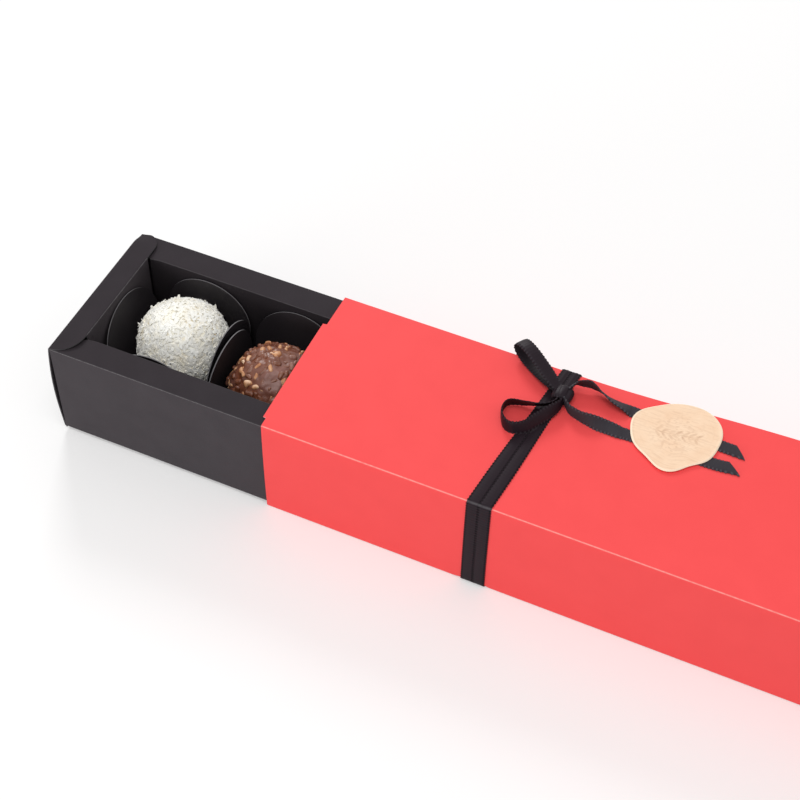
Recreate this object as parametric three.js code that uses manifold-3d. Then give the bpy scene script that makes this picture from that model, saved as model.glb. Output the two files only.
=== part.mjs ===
// A slide-out candy box: a card sleeve tied with ribbon, over a folded card tray with a row of truffles in petal cups.
import * as THREE from "three";
import { mergeVertices } from "three/addons/utils/BufferGeometryUtils.js";
import Module from "manifold-3d";

const wasm = await Module();
wasm.setup();

// Lengths are in millimetres and angles in radians. X runs along the box, Y from its front to its back, Z up.
// The origin is under the middle of the sleeve, on the surface that the box stands on.

// Truffles
const truffleRadius = 13;
const truffleSegments = 26;
const truffleLift = 5.45; // how far its petals hold a truffle above the cup's base
const truffleLumpShare = 0.03;
const truffleLumpsRound = 4;

// Petal cups: a square base and four round petals, folded up from one piece of card
const cupCount = 6;
const cupCard = 0.3;
const cupBaseInset = 2.2; // how far the base's edge lies inside the truffle's side
const petalRoom = 4; // from the truffle's side to the tray's inner wall
const petalOversize = 0.2; // how much the petal's radius passes the truffle's
const petalNeckShare = 0.62; // width of the fold line, as a share of the petal's diameter
const petalLean = THREE.MathUtils.degToRad(15); // where a petal leans by itself, with nothing behind it
const petalBend = THREE.MathUtils.degToRad(8); // how much more its foot leans out than its middle, and its top less
const petalDrop = 1; // from the rim's level down to the petal's top
const petalTip = 1.4; // width of the last facet at its top
const petalSteps = 14;
const seatGap = 0.3; // clearance round a piece that rests on a slanted or round neighbour
const pitchPlay = 0.5; // spare length for each cup along the tray
// The first two cups, which the others repeat: the places of the cups and of their truffles off the middle of
// their cells, as shares of petalRoom, and their petals' leans, as shares of petalLean, right, back, left, front
const cupShiftShares = [
  [0.45, 0.3],
  [-0.95, -0.5],
];
const truffleShiftShares = [
  [0.3, 0.575],
  [-0.56, -0.56],
];
const cupLeanShares = [
  [0.41, 0.66, 1, 0.71],
  [1, 1, 0.3, 1],
];

// Tray: one blank, whose walls fold up, over and down again into hollow double walls
const trayCard = 0.35;
const headRoom = 0.6; // from the truffle's top up to the level of the long rims
const sideRimWidth = 8;
const endRimWidth = 7;
const backEarRound = 4.5; // corner radius of the ears at the back
const footGap = 0.3; // the inner walls hang free of the base by this much
const slitGap = 0.3; // slit between two inner walls at a corner of the well

// Sleeve: a card tube open at both ends, closed by a glue flap under its back edge
const sleeveCard = 0.35;
const sleeveOverrun = 1; // how much longer than the tray it is
const sideGap = 0.3;
const topGap = 0.2;
const underGap = 0.05;
const creaseRound = 0.6;
const glueFlapWidth = 12;
const glueFlapMitre = 5;
const lipReach = 1.2; // how far the top panel passes the side panels at the mouth
const lipFrontInset = 4.4;
const lipBackInset = 12;
const pressReach = 1.5; // how far its underside bends on each side of the ribbon, which lies flush in it
const pullOut = 64.8; // how far the tray stands out at rest

// Ribbon: a band of two turns side by side round the sleeve, tied in a bow near the back edge
const ribbonWidth = 3.5;
const ribbonCard = 0.25;
const ribbonGap = 0.05;
const bandCount = 2;
const bandGap = 0.1;
const bandPlace = 57.2; // from the sleeve's mouth to the first turn, on the front
const bandDrift = 6; // how far the turns run along the sleeve between its front and its back
const knotInset = 10.45; // from the sleeve's back face to the knot's middle
const knotAside = 2.4; // from the middle of the turns to the knot's middle
const knotLength = 5;
const knotWidth = 5.4;
const knotHeight = 3.5;
const knotWaistShare = 0.62; // radius of the knot's ends, as a share of its middle
const knotSegments = 18;

// The knot gathers the ribbon's width, and lets it go by this far from the knot's middle
const gatherShare = 0.55;
const gatherReach = 7;

// Far bow loop: a teardrop that starts and ends in the knot and stands over the sleeve's back edge
const loopSteps = 28;
const loopStart = THREE.MathUtils.degToRad(34); // part of the teardrop that lies inside the knot
const farLoopLength = 20;
const farLoopHeight = 4.8;
const farLoopAzimuth = THREE.MathUtils.degToRad(146);
const farLoopRise = THREE.MathUtils.degToRad(4);

// Near bow loop, which stands on edge and lies open on the sleeve
const nearLoopReach = 12.6; // from the knot's middle to its left side
const nearLoopDepth = 16; // from the knot's middle to its front side
const nearLoopSteps = 44;
// Places round the near loop: shares of its reach, of its depth and of the knot's height, and its roll in degrees
const nearLoopShares = [
  [-0.06, -0.14, 1, 75],
  [-0.1, -0.24, 1, 70],
  [-0.22, -0.33, 1, 62],
  [-0.39, -0.39, 0.95, 60],
  [-0.58, -0.42, 0.85, 66],
  [-0.78, -0.45, 0.8, 71],
  [-0.93, -0.5, 0.8, 76],
  [-1, -0.59, 0.8, 84],
  [-1, -0.71, 0.8, 92],
  [-0.95, -0.83, 0.8, 92],
  [-0.85, -0.94, 0.8, 86],
  [-0.7, -1, 0.8, 80],
  [-0.54, -0.98, 0.85, 72],
  [-0.38, -0.88, 0.9, 64],
  [-0.25, -0.7, 0.95, 60],
  [-0.12, -0.52, 1, 60],
  [-0.02, -0.37, 1, 66],
  [0.04, -0.26, 1, 75],
  [0.06, -0.14, 1, 80],
];

// Ribbon tails, which run along the sleeve and under the seal
const tailLength = 48; // from the knot's middle to the tails' tips
const tailBow = 5.8; // how far the back tail swings out behind the knot
const tailSteps = 40;
const tailCut = 1.7; // half of what a slanted end takes off one edge
// Places along a tail: shares of tailLength, of tailBow and of the knot's height, and its roll in degrees
const backTailShares = [
  [0.012, 0.31, 1, -60],
  [0.04, 0.81, 1.07, -62],
  [0.077, 0.93, 1.25, -75],
  [0.115, 1, 1.3, -80],
  [0.149, 0.97, 1.12, -72],
  [0.178, 0.92, 0.93, -60],
  [0.229, 0.76, 0.79, -50],
  [0.258, 0.7, 0.66, -38],
  [0.317, 0.65, 0.42, -27],
  [0.354, 0.645, 0.17, -12],
  [0.379, 0.64, 0, 0],
  [0.44, 0.6, 0, 0],
  [0.665, 0.48, 0, 0],
  [0.89, 0.35, 0, 0],
  [1, 0.31, 0, 0],
];
const frontTailShares = [
  [0.017, -0.31, 1, 90],
  [0.042, -0.52, 1, 90],
  [0.074, -0.72, 0.92, 90],
  [0.138, -0.85, 0.82, 86],
  [0.2, -0.86, 0.73, 64],
  [0.254, -0.845, 0.53, 38],
  [0.304, -0.8, 0.32, 21],
  [0.36, -0.79, 0.16, 8],
  [0.405, -0.735, 0, 0],
  [0.56, -0.74, 0, 0],
  [0.866, -0.76, 0, 0],
  [1, -0.66, 0, 0],
];

// Seal: a round sticker with a wavy edge and a raised rim
const sealRadius = 11.5;
const sealCard = 0.8;
const sealRecess = 0.25;
const sealRimShare = 0.86; // inner edge of the raised rim, as a share of the outline
const sealPlaceShares = [0.647, 0.08]; // its middle, as shares of tailLength and of tailBow
const sealSteps = 44;
// Waves of the outline, as shares of sealRadius, with their phases in degrees
const sealWaveShares = [
  [2, 0.044, -77],
  [3, 0.047, -133],
  [4, 0.023, 10],
  [5, 0.014, 90],
  [6, 0.019, 136],
  [7, 0.011, -119],
];

const cutOverrun = 1;

// Places worked out from the sizes above
const cellHalf = truffleRadius + petalRoom;
const cupPitch = 2 * cellHalf + pitchPlay;
const trayWidth = 2 * (cellHalf + sideRimWidth);
const trayLength = cupCount * cupPitch + 2 * endRimWidth;
const truffleRise = truffleRadius + truffleLift;
const sideRimHeight = trayCard + truffleRise + truffleRadius + headRoom;
const trayHeight = sideRimHeight + trayCard;
const sleeveLength = trayLength + sleeveOverrun;
const sleeveWidth = trayWidth + 2 * (sideGap + sleeveCard);
const ribbonLayer = ribbonGap + ribbonCard;
const trayFloor = ribbonLayer + 2 * sleeveCard + underGap;
const sleeveTop = trayFloor + trayHeight + topGap + sleeveCard;
const mouth = -sleeveLength / 2;
const knotY = sleeveWidth / 2 - knotInset;
const bandWidth = bandCount * ribbonWidth + (bandCount - 1) * bandGap;
const driftShare = bandDrift / sleeveWidth;
const knotX = mouth + bandPlace + bandWidth / 2 + driftShare * (sleeveWidth - knotInset) + knotAside;
const knotLift = ribbonLayer + seatGap + knotHeight / 2;

const xAxis = new THREE.Vector3(1, 0, 0);
const yAxis = new THREE.Vector3(0, 1, 0);
const zAxis = new THREE.Vector3(0, 0, 1);
const knotPlace = new THREE.Vector3(knotX, knotY, sleeveTop + knotLift);

// Slants what goes round the sleeve with the ribbon, so that it drifts along as it goes from front to back
const drift = new THREE.Matrix4().set(1, driftShare, 0, bandDrift / 2, 0, 1, 0, 0, 0, 0, 1, 0, 0, 0, 0, 1);

// A closed geometry as a solid
function solidOf(geometry) {
  geometry.deleteAttribute("normal");
  geometry.deleteAttribute("uv");
  const merged = mergeVertices(geometry);
  const vertProperties = merged.attributes.position.array;
  const triVerts = new Uint32Array(merged.index.array);
  return new wasm.Manifold(new wasm.Mesh({ numProp: 3, vertProperties, triVerts }));
}

// A solid as a named mesh
function meshOf(name, solid, material) {
  const made = solid.getMesh();
  const geometry = new THREE.BufferGeometry();
  geometry.setAttribute("position", new THREE.BufferAttribute(made.vertProperties, 3));
  geometry.setIndex(new THREE.BufferAttribute(made.triVerts, 1));
  geometry.computeVertexNormals();
  const mesh = new THREE.Mesh(geometry, material);
  mesh.name = name;
  return mesh;
}

// A block between two corners
function block(low, high) {
  const size = high.map((value, k) => value - low[k]);
  const middle = high.map((value, k) => (value + low[k]) / 2);
  return solidOf(new THREE.BoxGeometry(...size).translate(...middle));
}

// A flat plate of a shape drawn in X and Y, standing on a level
function plate(shape, level, thickness, curveSegments = 1) {
  const geometry = new THREE.ExtrudeGeometry(shape, { depth: thickness, bevelEnabled: false, curveSegments });
  return solidOf(geometry.translate(0, 0, level));
}

// A section drawn in Y and Z, run along X
function runAlongX(section, start, length) {
  const geometry = new THREE.ExtrudeGeometry(section, { depth: length, bevelEnabled: false, curveSegments: 3 });
  geometry.applyMatrix4(new THREE.Matrix4().makeBasis(yAxis, zAxis, xAxis));
  return geometry.translate(start, 0, 0);
}

// A flat strip whose middle follows the places, with its width along the sides
function strip(places, sides, widths, thickness, endCut = 0) {
  const corners = [];
  places.forEach((place, k) => {
    const before = places[Math.max(k - 1, 0)];
    const after = places[Math.min(k + 1, places.length - 1)];
    const ahead = new THREE.Vector3().subVectors(after, before).normalize();
    const side = sides[k].clone().addScaledVector(ahead, -sides[k].dot(ahead)).normalize();
    const up = new THREE.Vector3().crossVectors(ahead, side);
    const cut = k === places.length - 1 ? endCut : 0;
    for (const [across, over] of [[-1, -1], [1, -1], [1, 1], [-1, 1]]) {
      const corner = place.clone().addScaledVector(side, (across * widths[k]) / 2);
      corner.addScaledVector(up, (over * thickness) / 2).addScaledVector(ahead, -across * cut);
      corners.push(corner);
    }
  });
  const faces = [0, 2, 1, 0, 3, 2];
  for (let k = 0; k < places.length - 1; k += 1) {
    for (let c = 0; c < 4; c += 1) {
      const a = 4 * k + c;
      const b = 4 * k + ((c + 1) % 4);
      faces.push(a, b, b + 4, a, b + 4, a + 4);
    }
  }
  const last = 4 * (places.length - 1);
  faces.push(last, last + 1, last + 2, last, last + 2, last + 3);
  const geometry = new THREE.BufferGeometry().setFromPoints(corners);
  geometry.setIndex(faces);
  return solidOf(geometry);
}

// Tray

// The end rim with its two ears, drawn from the tray's near end
function endRimShape() {
  const half = trayWidth / 2;
  const shape = new THREE.Shape();
  shape.moveTo(0, half);
  shape.lineTo(0, -half);
  shape.absellipse(0, -cellHalf, endRimWidth, sideRimWidth, -Math.PI / 2, 0, false);
  shape.lineTo(endRimWidth, half - backEarRound);
  shape.absarc(endRimWidth - backEarRound, half - backEarRound, backEarRound, 0, Math.PI / 2, false);
  shape.closePath();
  return shape;
}

function makeTray() {
  const half = trayWidth / 2;
  const wellEnd = trayLength - endRimWidth;
  const wallInside = half - trayCard;
  const hungWall = cellHalf + trayCard;
  let tray = block([0, -half, 0], [trayLength, half, sideRimHeight]);
  const wallHollow = block(
    [trayCard, -wallInside, trayCard],
    [trayLength - trayCard, wallInside, sideRimHeight - trayCard],
  );
  const core = block(
    [endRimWidth - trayCard, -hungWall, 0],
    [wellEnd + trayCard, hungWall, sideRimHeight],
  );
  const rim = plate(endRimShape(), sideRimHeight, trayCard, 8);
  const farRim = rim.mirror([1, 0, 0]).translate([trayLength, 0, 0]);
  tray = tray.subtract(wallHollow.subtract(core)).add(rim).add(farRim);
  const well = block([endRimWidth, -cellHalf, trayCard], [wellEnd, cellHalf, trayHeight + cutOverrun]);
  const foot = block(
    [endRimWidth - trayCard - slitGap, -hungWall - slitGap, trayCard],
    [wellEnd + trayCard + slitGap, hungWall + slitGap, trayCard + footGap],
  );
  tray = tray.subtract(well).subtract(foot);
  for (const [from, to] of [
    [endRimWidth - trayCard - slitGap, endRimWidth],
    [wellEnd, wellEnd + trayCard + slitGap],
  ]) {
    for (const side of [-1, 1]) {
      const ends = [side * (cellHalf - slitGap), side * (hungWall + slitGap)].sort((a, b) => a - b);
      tray = tray.subtract(block([from, ends[0], trayCard], [to, ends[1], sideRimHeight - trayCard]));
    }
  }
  return tray;
}

// Petal cups

const cupBaseHalf = truffleRadius - cupBaseInset;
const petalHeight = sideRimHeight - trayCard - petalDrop;
const petalRadius = truffleRadius + petalOversize;

// A petal is bent to an arc: how far its outer face is out from its fold and up, at a length from the fold
const petalCurve = (2 * petalBend) / petalHeight;

function petalPlace(lean, length) {
  const foot = lean + petalBend;
  const angle = foot - petalCurve * length;
  const out = (Math.cos(angle) - Math.cos(foot)) / petalCurve;
  const up = (Math.sin(foot) - Math.sin(angle)) / petalCurve;
  return { out, up, angle };
}

// The lean at which the petal's furthest point fills the room behind its fold
function leanInto(room) {
  const space = Math.max(0, room);
  const bowed = Math.acos(1 - petalCurve * space) - petalBend;
  if (bowed < petalBend) return bowed;
  return Math.asin(Math.min(1, (space * petalBend) / (petalHeight * Math.sin(petalBend))));
}

// How far from the cup's middle a truffle can lie towards a petal
function truffleReach(lean) {
  const foot = lean + petalBend;
  const angle = Math.asin(Math.sin(foot) - petalCurve * truffleRise);
  const face = cupBaseHalf + petalPlace(lean, (foot - angle) / petalCurve).out;
  return face - (cupCard + truffleRadius + seatGap) / Math.cos(angle);
}

// A cup's place, its four petals' leans, in the order right, back, left, front, and its truffle's place
function cupLayout(index) {
  const kind = index % cupShiftShares.length;
  const shift = cupShiftShares[kind].map((share) => share * petalRoom);
  const room = [cupPitch / 2, cellHalf].map((half) => half - seatGap - cupBaseHalf);
  const rooms = [room[0] - shift[0], room[1] - shift[1], room[0] + shift[0], room[1] + shift[1]];
  const leans = rooms.map((space, k) => Math.min(cupLeanShares[kind][k] * petalLean, leanInto(space)));
  const truffleShift = truffleShiftShares[kind].map((share, k) => {
    const low = shift[k] - truffleReach(leans[k + 2]);
    return THREE.MathUtils.clamp(share * petalRoom, low, shift[k] + truffleReach(leans[k]));
  });
  const middle = endRimWidth + (index + 0.5) * cupPitch;
  const cup = [middle + shift[0], shift[1], trayCard];
  const truffle = [middle + truffleShift[0], truffleShift[1], trayCard + truffleRise];
  return { cup, leans, truffle };
}

// A petal that leans out to the right of the cup's base
function makePetal(lean) {
  const neckHalf = petalNeckShare * petalRadius;
  const neckTurn = -Math.acos(petalNeckShare);
  const tipTurn = Math.acos(petalTip / 2 / petalRadius);
  const middle = petalHeight - petalRadius;
  const neckLength = middle + petalRadius * Math.sin(neckTurn);
  const rows = [[0, neckHalf], [neckLength / 2, neckHalf]];
  for (let k = 0; k <= petalSteps; k += 1) {
    const turn = THREE.MathUtils.lerp(neckTurn, tipTurn, k / petalSteps);
    rows.push([middle + petalRadius * Math.sin(turn), petalRadius * Math.cos(turn)]);
  }
  const places = rows.map(([length]) => {
    const { out, up, angle } = petalPlace(lean, length);
    const inset = cupCard / 2;
    return new THREE.Vector3(cupBaseHalf + out - Math.cos(angle) * inset, 0, up + Math.sin(angle) * inset);
  });
  return strip(places, rows.map(() => yAxis), rows.map(([, half]) => 2 * half), cupCard);
}

function makeCup(leans) {
  let cup = block([-cupBaseHalf, -cupBaseHalf, 0], [cupBaseHalf, cupBaseHalf, cupCard]);
  leans.forEach((lean, quarter) => {
    const turned = new THREE.Matrix4().makeRotationZ((quarter * Math.PI) / 2);
    cup = cup.add(makePetal(lean).transform(turned.elements));
  });
  return cup;
}

// Truffles

function makeTruffle(index) {
  const geometry = new THREE.SphereGeometry(truffleRadius, truffleSegments, truffleSegments / 2 + 3);
  const position = geometry.attributes.position;
  const point = new THREE.Vector3();
  for (let k = 0; k < position.count; k += 1) {
    point.fromBufferAttribute(position, k);
    const turn = point.clone().multiplyScalar(truffleLumpsRound / truffleRadius).addScalar(index);
    const wave = Math.sin(turn.x) * Math.sin(turn.y) + Math.sin(turn.y + index) * Math.sin(turn.z);
    point.multiplyScalar(THREE.MathUtils.mapLinear(wave, -2, 2, 1, 1 - truffleLumpShare));
    position.setXYZ(k, point.x, point.y, point.z);
  }
  return solidOf(geometry);
}

// Sleeve

// A rounded outline round the sleeve, drawn in Y and Z, grown outward by a distance, with its underside at a level
function sleeveOutline(target, grow, low) {
  const half = sleeveWidth / 2 + grow;
  const high = sleeveTop + grow;
  const round = Math.max(creaseRound + grow, sleeveCard / 4);
  target.moveTo(-half + round, low);
  target.absarc(half - round, low + round, round, -Math.PI / 2, 0, false);
  target.absarc(half - round, high - round, round, 0, Math.PI / 2, false);
  target.absarc(-half + round, high - round, round, Math.PI / 2, Math.PI, false);
  target.absarc(-half + round, low + round, round, Math.PI, 1.5 * Math.PI, false);
  target.closePath();
  return target;
}

// A wall between two such outlines, each given by its growth and its underside's level
function wallSection(inner, outer) {
  const section = sleeveOutline(new THREE.Shape(), ...outer);
  section.holes.push(sleeveOutline(new THREE.Path(), ...inner));
  return section;
}

// A layer of card on a level, raised over the ribbon below it, between two places in Y
function raisedCard(level, front, back) {
  const start = mouth + bandPlace;
  const shape = new THREE.Shape();
  shape.moveTo(start - pressReach, level);
  shape.lineTo(start + bandWidth + pressReach, level);
  shape.lineTo(start + bandWidth + ribbonGap, level + ribbonLayer);
  shape.lineTo(start - ribbonGap, level + ribbonLayer);
  shape.closePath();
  const geometry = new THREE.ExtrudeGeometry(shape, { depth: back - front, bevelEnabled: false });
  geometry.applyMatrix4(new THREE.Matrix4().makeBasis(xAxis, zAxis, yAxis.clone().negate()));
  return solidOf(geometry.translate(0, back, 0));
}

// The groove that the ribbon lies in, across the underside and round its edges
function ribbonGroove() {
  const half = sleeveWidth / 2 + cutOverrun;
  const start = mouth + bandPlace - ribbonGap;
  const width = bandWidth + 2 * ribbonGap;
  const lane = block([start, -half, -cutOverrun], [start + width, half, sleeveTop / 2]);
  const pressed = sleeveOutline(new THREE.Shape(), 0, ribbonLayer);
  return lane.subtract(solidOf(runAlongX(pressed, start - cutOverrun, width + 2 * cutOverrun)));
}

function makeSleeve() {
  const half = sleeveWidth / 2;
  const tube = solidOf(runAlongX(wallSection([-sleeveCard, sleeveCard], [0, 0]), mouth, sleeveLength));
  const lip = block(
    [mouth - lipReach, -half + lipFrontInset, sleeveTop - sleeveCard],
    [mouth, half - lipBackInset, sleeveTop],
  );
  const flapBack = half - sleeveCard;
  const flap = new THREE.Shape();
  flap.moveTo(mouth, flapBack);
  flap.lineTo(mouth + glueFlapMitre, flapBack - glueFlapWidth);
  flap.lineTo(-mouth - glueFlapMitre, flapBack - glueFlapWidth);
  flap.lineTo(-mouth, flapBack);
  flap.closePath();
  const inWall = half - sleeveCard / 2;
  const panelRaised = raisedCard(sleeveCard, -inWall, inWall).transform(drift.elements);
  const flapRaised = raisedCard(2 * sleeveCard, flapBack - glueFlapWidth, inWall).transform(drift.elements);
  const sleeve = tube.add(lip).add(plate(flap, sleeveCard, sleeveCard)).add(panelRaised).add(flapRaised);
  return sleeve.subtract(ribbonGroove().transform(drift.elements));
}

// Ribbon

// One turn of ribbon round the sleeve, flush with its underside
function makeTurn(index) {
  const start = mouth + bandPlace + index * (ribbonWidth + bandGap);
  const section = wallSection([ribbonGap, ribbonCard], [ribbonLayer, 0]);
  return solidOf(runAlongX(section, start, ribbonWidth)).transform(drift.elements);
}

// The knot is a short barrel of wrapped ribbon, with its axis along the turns
function makeKnot(grow) {
  const radius = knotWidth / 2 + grow;
  const half = knotLength / 2 + grow;
  const waist = knotWaistShare * radius;
  const profile = [[0, -half], [waist, -half], [radius, -half / 2], [radius, half / 2], [waist, half], [0, half]];
  const points = profile.map((place) => new THREE.Vector2(...place));
  const geometry = new THREE.LatheGeometry(points, knotSegments);
  const squash = (knotHeight / 2 + grow) / radius;
  geometry.scale(1, 1, squash).rotateZ(-Math.atan(driftShare));
  return solidOf(geometry.translate(...knotPlace));
}

// The ribbon's width at each place, gathered near the knot
function gathered(places, grow) {
  return places.map((place) => {
    const open = THREE.MathUtils.smoothstep(place.distanceTo(knotPlace), 0, gatherReach);
    return ribbonWidth * THREE.MathUtils.lerp(gatherShare, 1, open) + 2 * grow;
  });
}

// A teardrop from the knot and back, level across and standing along its length
function makeFarLoop(grow) {
  const level = xAxis.clone().applyAxisAngle(zAxis, farLoopAzimuth);
  const side = new THREE.Vector3().crossVectors(zAxis, level);
  const out = level.clone().applyAxisAngle(side, -farLoopRise);
  const across = new THREE.Vector3().crossVectors(out, side);
  const fullest = 0.75 * Math.sqrt(3); // the largest value of sin(t) * (1 - cos(t))
  const places = [];
  for (let k = 0; k <= loopSteps; k += 1) {
    const turn = loopStart + (k / loopSteps) * 2 * (Math.PI - loopStart);
    const reach = (farLoopLength * (1 - Math.cos(turn))) / 2;
    const swing = (farLoopHeight * Math.sin(turn) * (1 - Math.cos(turn))) / (2 * fullest);
    places.push(knotPlace.clone().addScaledVector(out, reach).addScaledVector(across, swing));
  }
  return strip(places, places.map(() => side), gathered(places, grow), ribbonCard + 2 * grow);
}

// A ribbon through a table of shares of two lengths and of the knot's height, lying on the sleeve where that is zero
function tableStrip(shares, alongSize, asideSize, steps, grow, endCut) {
  const lying = sleeveTop + ribbonGap + ribbonCard / 2;
  const lift = knotPlace.z - lying;
  const route = shares.map(([along, aside, up]) => {
    return new THREE.Vector3(knotX + along * alongSize, knotY + aside * asideSize, lying + up * lift);
  });
  const curve = new THREE.CatmullRomCurve3(route, false, "catmullrom", 0.5);
  const places = [];
  const sides = [];
  for (let k = 0; k <= steps; k += 1) {
    const t = k / steps;
    const place = curve.getPoint(t);
    place.z = Math.max(place.z, lying);
    const spot = t * (shares.length - 1);
    const before = Math.min(Math.floor(spot), shares.length - 2);
    const roll = THREE.MathUtils.lerp(shares[before][3], shares[before + 1][3], spot - before);
    const ahead = curve.getTangent(t).setZ(0).normalize();
    const level = new THREE.Vector3().crossVectors(zAxis, ahead);
    sides.push(level.applyAxisAngle(ahead, THREE.MathUtils.degToRad(roll)));
    places.push(place);
  }
  return strip(places, sides, gathered(places, grow), ribbonCard + 2 * grow, endCut);
}

function makeNearLoop(grow) {
  return tableStrip(nearLoopShares, nearLoopReach, nearLoopDepth, nearLoopSteps, grow, 0);
}

function makeTail(shares) {
  return tableStrip(shares, tailLength, tailBow, tailSteps, 0, tailCut);
}

// Seal

function sealShape(share) {
  const points = [];
  for (let k = 0; k < sealSteps; k += 1) {
    const turn = (k / sealSteps) * 2 * Math.PI;
    let radius = share * sealRadius;
    for (const [waves, waveShare, phase] of sealWaveShares) {
      radius += share * sealRadius * waveShare * Math.cos(waves * turn + THREE.MathUtils.degToRad(phase));
    }
    points.push(new THREE.Vector2(radius * Math.cos(turn), radius * Math.sin(turn)));
  }
  return new THREE.Shape(points);
}

function makeSeal() {
  const level = sleeveTop + ribbonLayer + ribbonGap;
  const disc = plate(sealShape(1), level, sealCard);
  const recess = plate(sealShape(sealRimShare), level + sealCard - sealRecess, sealCard);
  const [along, aside] = sealPlaceShares;
  return disc.subtract(recess).translate([knotX + along * tailLength, knotY + aside * tailBow, 0]);
}

// Finishes
const redCard = new THREE.MeshStandardMaterial({ color: 0xf74f50, roughness: 0.55, metalness: 0 });
const blackCard = new THREE.MeshStandardMaterial({ color: 0x413b40, roughness: 0.85, metalness: 0 });
const cupFinish = new THREE.MeshStandardMaterial({ color: 0x222024, roughness: 0.5, metalness: 0 });
const satin = new THREE.MeshStandardMaterial({ color: 0x322b31, roughness: 0.45, metalness: 0 });
const sealFinish = new THREE.MeshStandardMaterial({ color: 0xfddebf, roughness: 0.5, metalness: 0 });
const coconut = new THREE.MeshStandardMaterial({ color: 0xfaf6e8, roughness: 0.9, metalness: 0 });
const nutChocolate = new THREE.MeshStandardMaterial({ color: 0x845241, roughness: 0.6, metalness: 0 });

const candyBox = new THREE.Group();

// The sleeve, with the ribbon and the seal that stay on it
candyBox.add(meshOf("sleeve", makeSleeve(), redCard));
for (let k = 0; k < bandCount; k += 1) {
  candyBox.add(meshOf(`ribbon_turn_${k + 1}`, makeTurn(k), satin));
}
const knotRoom = makeKnot(seatGap);
const nearLoopRoom = makeNearLoop(seatGap);
const farLoopRoom = makeFarLoop(seatGap);
candyBox.add(meshOf("bow_knot", makeKnot(0), satin));
candyBox.add(meshOf("bow_loop_near", makeNearLoop(0).subtract(knotRoom), satin));
candyBox.add(meshOf("bow_loop_far", makeFarLoop(0).subtract(knotRoom).subtract(nearLoopRoom), satin));
for (const [name, shares] of [["ribbon_tail_back", backTailShares], ["ribbon_tail_front", frontTailShares]]) {
  const tail = makeTail(shares).subtract(knotRoom).subtract(nearLoopRoom).subtract(farLoopRoom);
  candyBox.add(meshOf(name, tail, satin));
}
candyBox.add(meshOf("seal", makeSeal(), sealFinish));

// The drawer: the tray and all that it carries, pulled part of the way out of the sleeve
const drawer = new THREE.Group();
drawer.position.set(mouth - pullOut, 0, trayFloor);
drawer.add(meshOf("tray", makeTray(), blackCard));
for (let k = 0; k < cupCount; k += 1) {
  const layout = cupLayout(k);
  const cup = meshOf(`cup_${k + 1}`, makeCup(layout.leans), cupFinish);
  cup.position.set(...layout.cup);
  drawer.add(cup);
  const truffle = meshOf(`truffle_${k + 1}`, makeTruffle(k), k % 2 ? nutChocolate : coconut);
  truffle.position.set(...layout.truffle);
  drawer.add(truffle);
}
candyBox.add(drawer);

export default candyBox;
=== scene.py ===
# A slide-out candy box: a red card sleeve tied with satin ribbon, over a black card tray of truffles.
import random
from math import acos, asin, atan, ceil, copysign, cos, degrees, exp, hypot, pi, radians, sin, sqrt

import bmesh
import bpy
from mathutils import Matrix, Vector, noise


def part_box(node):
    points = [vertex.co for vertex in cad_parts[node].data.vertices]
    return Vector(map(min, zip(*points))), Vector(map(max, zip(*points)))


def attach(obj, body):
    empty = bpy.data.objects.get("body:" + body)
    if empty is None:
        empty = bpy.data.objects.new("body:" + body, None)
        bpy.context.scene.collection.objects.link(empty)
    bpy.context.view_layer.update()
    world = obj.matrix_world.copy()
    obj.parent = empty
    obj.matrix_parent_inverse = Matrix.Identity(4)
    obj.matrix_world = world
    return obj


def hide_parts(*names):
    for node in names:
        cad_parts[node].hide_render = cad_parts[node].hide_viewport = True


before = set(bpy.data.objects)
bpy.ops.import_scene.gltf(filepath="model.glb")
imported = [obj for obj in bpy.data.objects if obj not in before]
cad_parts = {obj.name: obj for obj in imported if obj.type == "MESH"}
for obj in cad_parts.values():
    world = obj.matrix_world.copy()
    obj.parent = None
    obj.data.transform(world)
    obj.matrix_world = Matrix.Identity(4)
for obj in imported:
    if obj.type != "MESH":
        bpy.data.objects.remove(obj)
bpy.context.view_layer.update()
mm = 0.001


# Camera
# A long lens looks down on the box from in front and from the right, tipped by about a degree. The sleeve
# runs out of the picture at the right.
def add_object(name, data):
    made = bpy.data.objects.new(name, data)
    bpy.context.scene.collection.objects.link(made)
    return made


camera_data = bpy.data.cameras.new("camera")
camera_data.lens = 72.56
camera_data.sensor_width = 36
camera_data.clip_start = 0.01
camera = add_object("camera", camera_data)
camera_place = Vector((26.2, -255.15, 356.8)) * mm
camera_azimuth = radians(23.16)
camera_elevation = radians(49.56)
camera_roll = radians(1.22)
aim = Matrix.Rotation(camera_azimuth, 4, "Z") @ Matrix.Rotation(pi / 2 - camera_elevation, 4, "X")
camera.matrix_world = Matrix.Translation(camera_place) @ aim @ Matrix.Rotation(camera_roll, 4, "Z")
bpy.context.scene.camera = camera
bpy.context.scene.view_settings.view_transform = "Standard"


# Floor and light
# A white sweep in an even white surround. One soft lamp stands behind on the left and a broad one hangs
# overhead. A low one in front on the left lights the tray's long side.
def add_node(tree, kind, inputs=None, **settings):
    """A new node, whose inputs are given as values or as the sockets that feed them."""
    made = tree.nodes.new(kind)
    for key, value in settings.items():
        setattr(made, key, value)
    for key, value in (inputs or {}).items():
        if isinstance(value, bpy.types.NodeSocket):
            tree.links.new(value, made.inputs[key])
        else:
            made.inputs[key].default_value = value
    return made


def add_math(tree, operation, *values):
    return add_node(tree, "ShaderNodeMath", dict(enumerate(values)), operation=operation).outputs[0]


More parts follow.
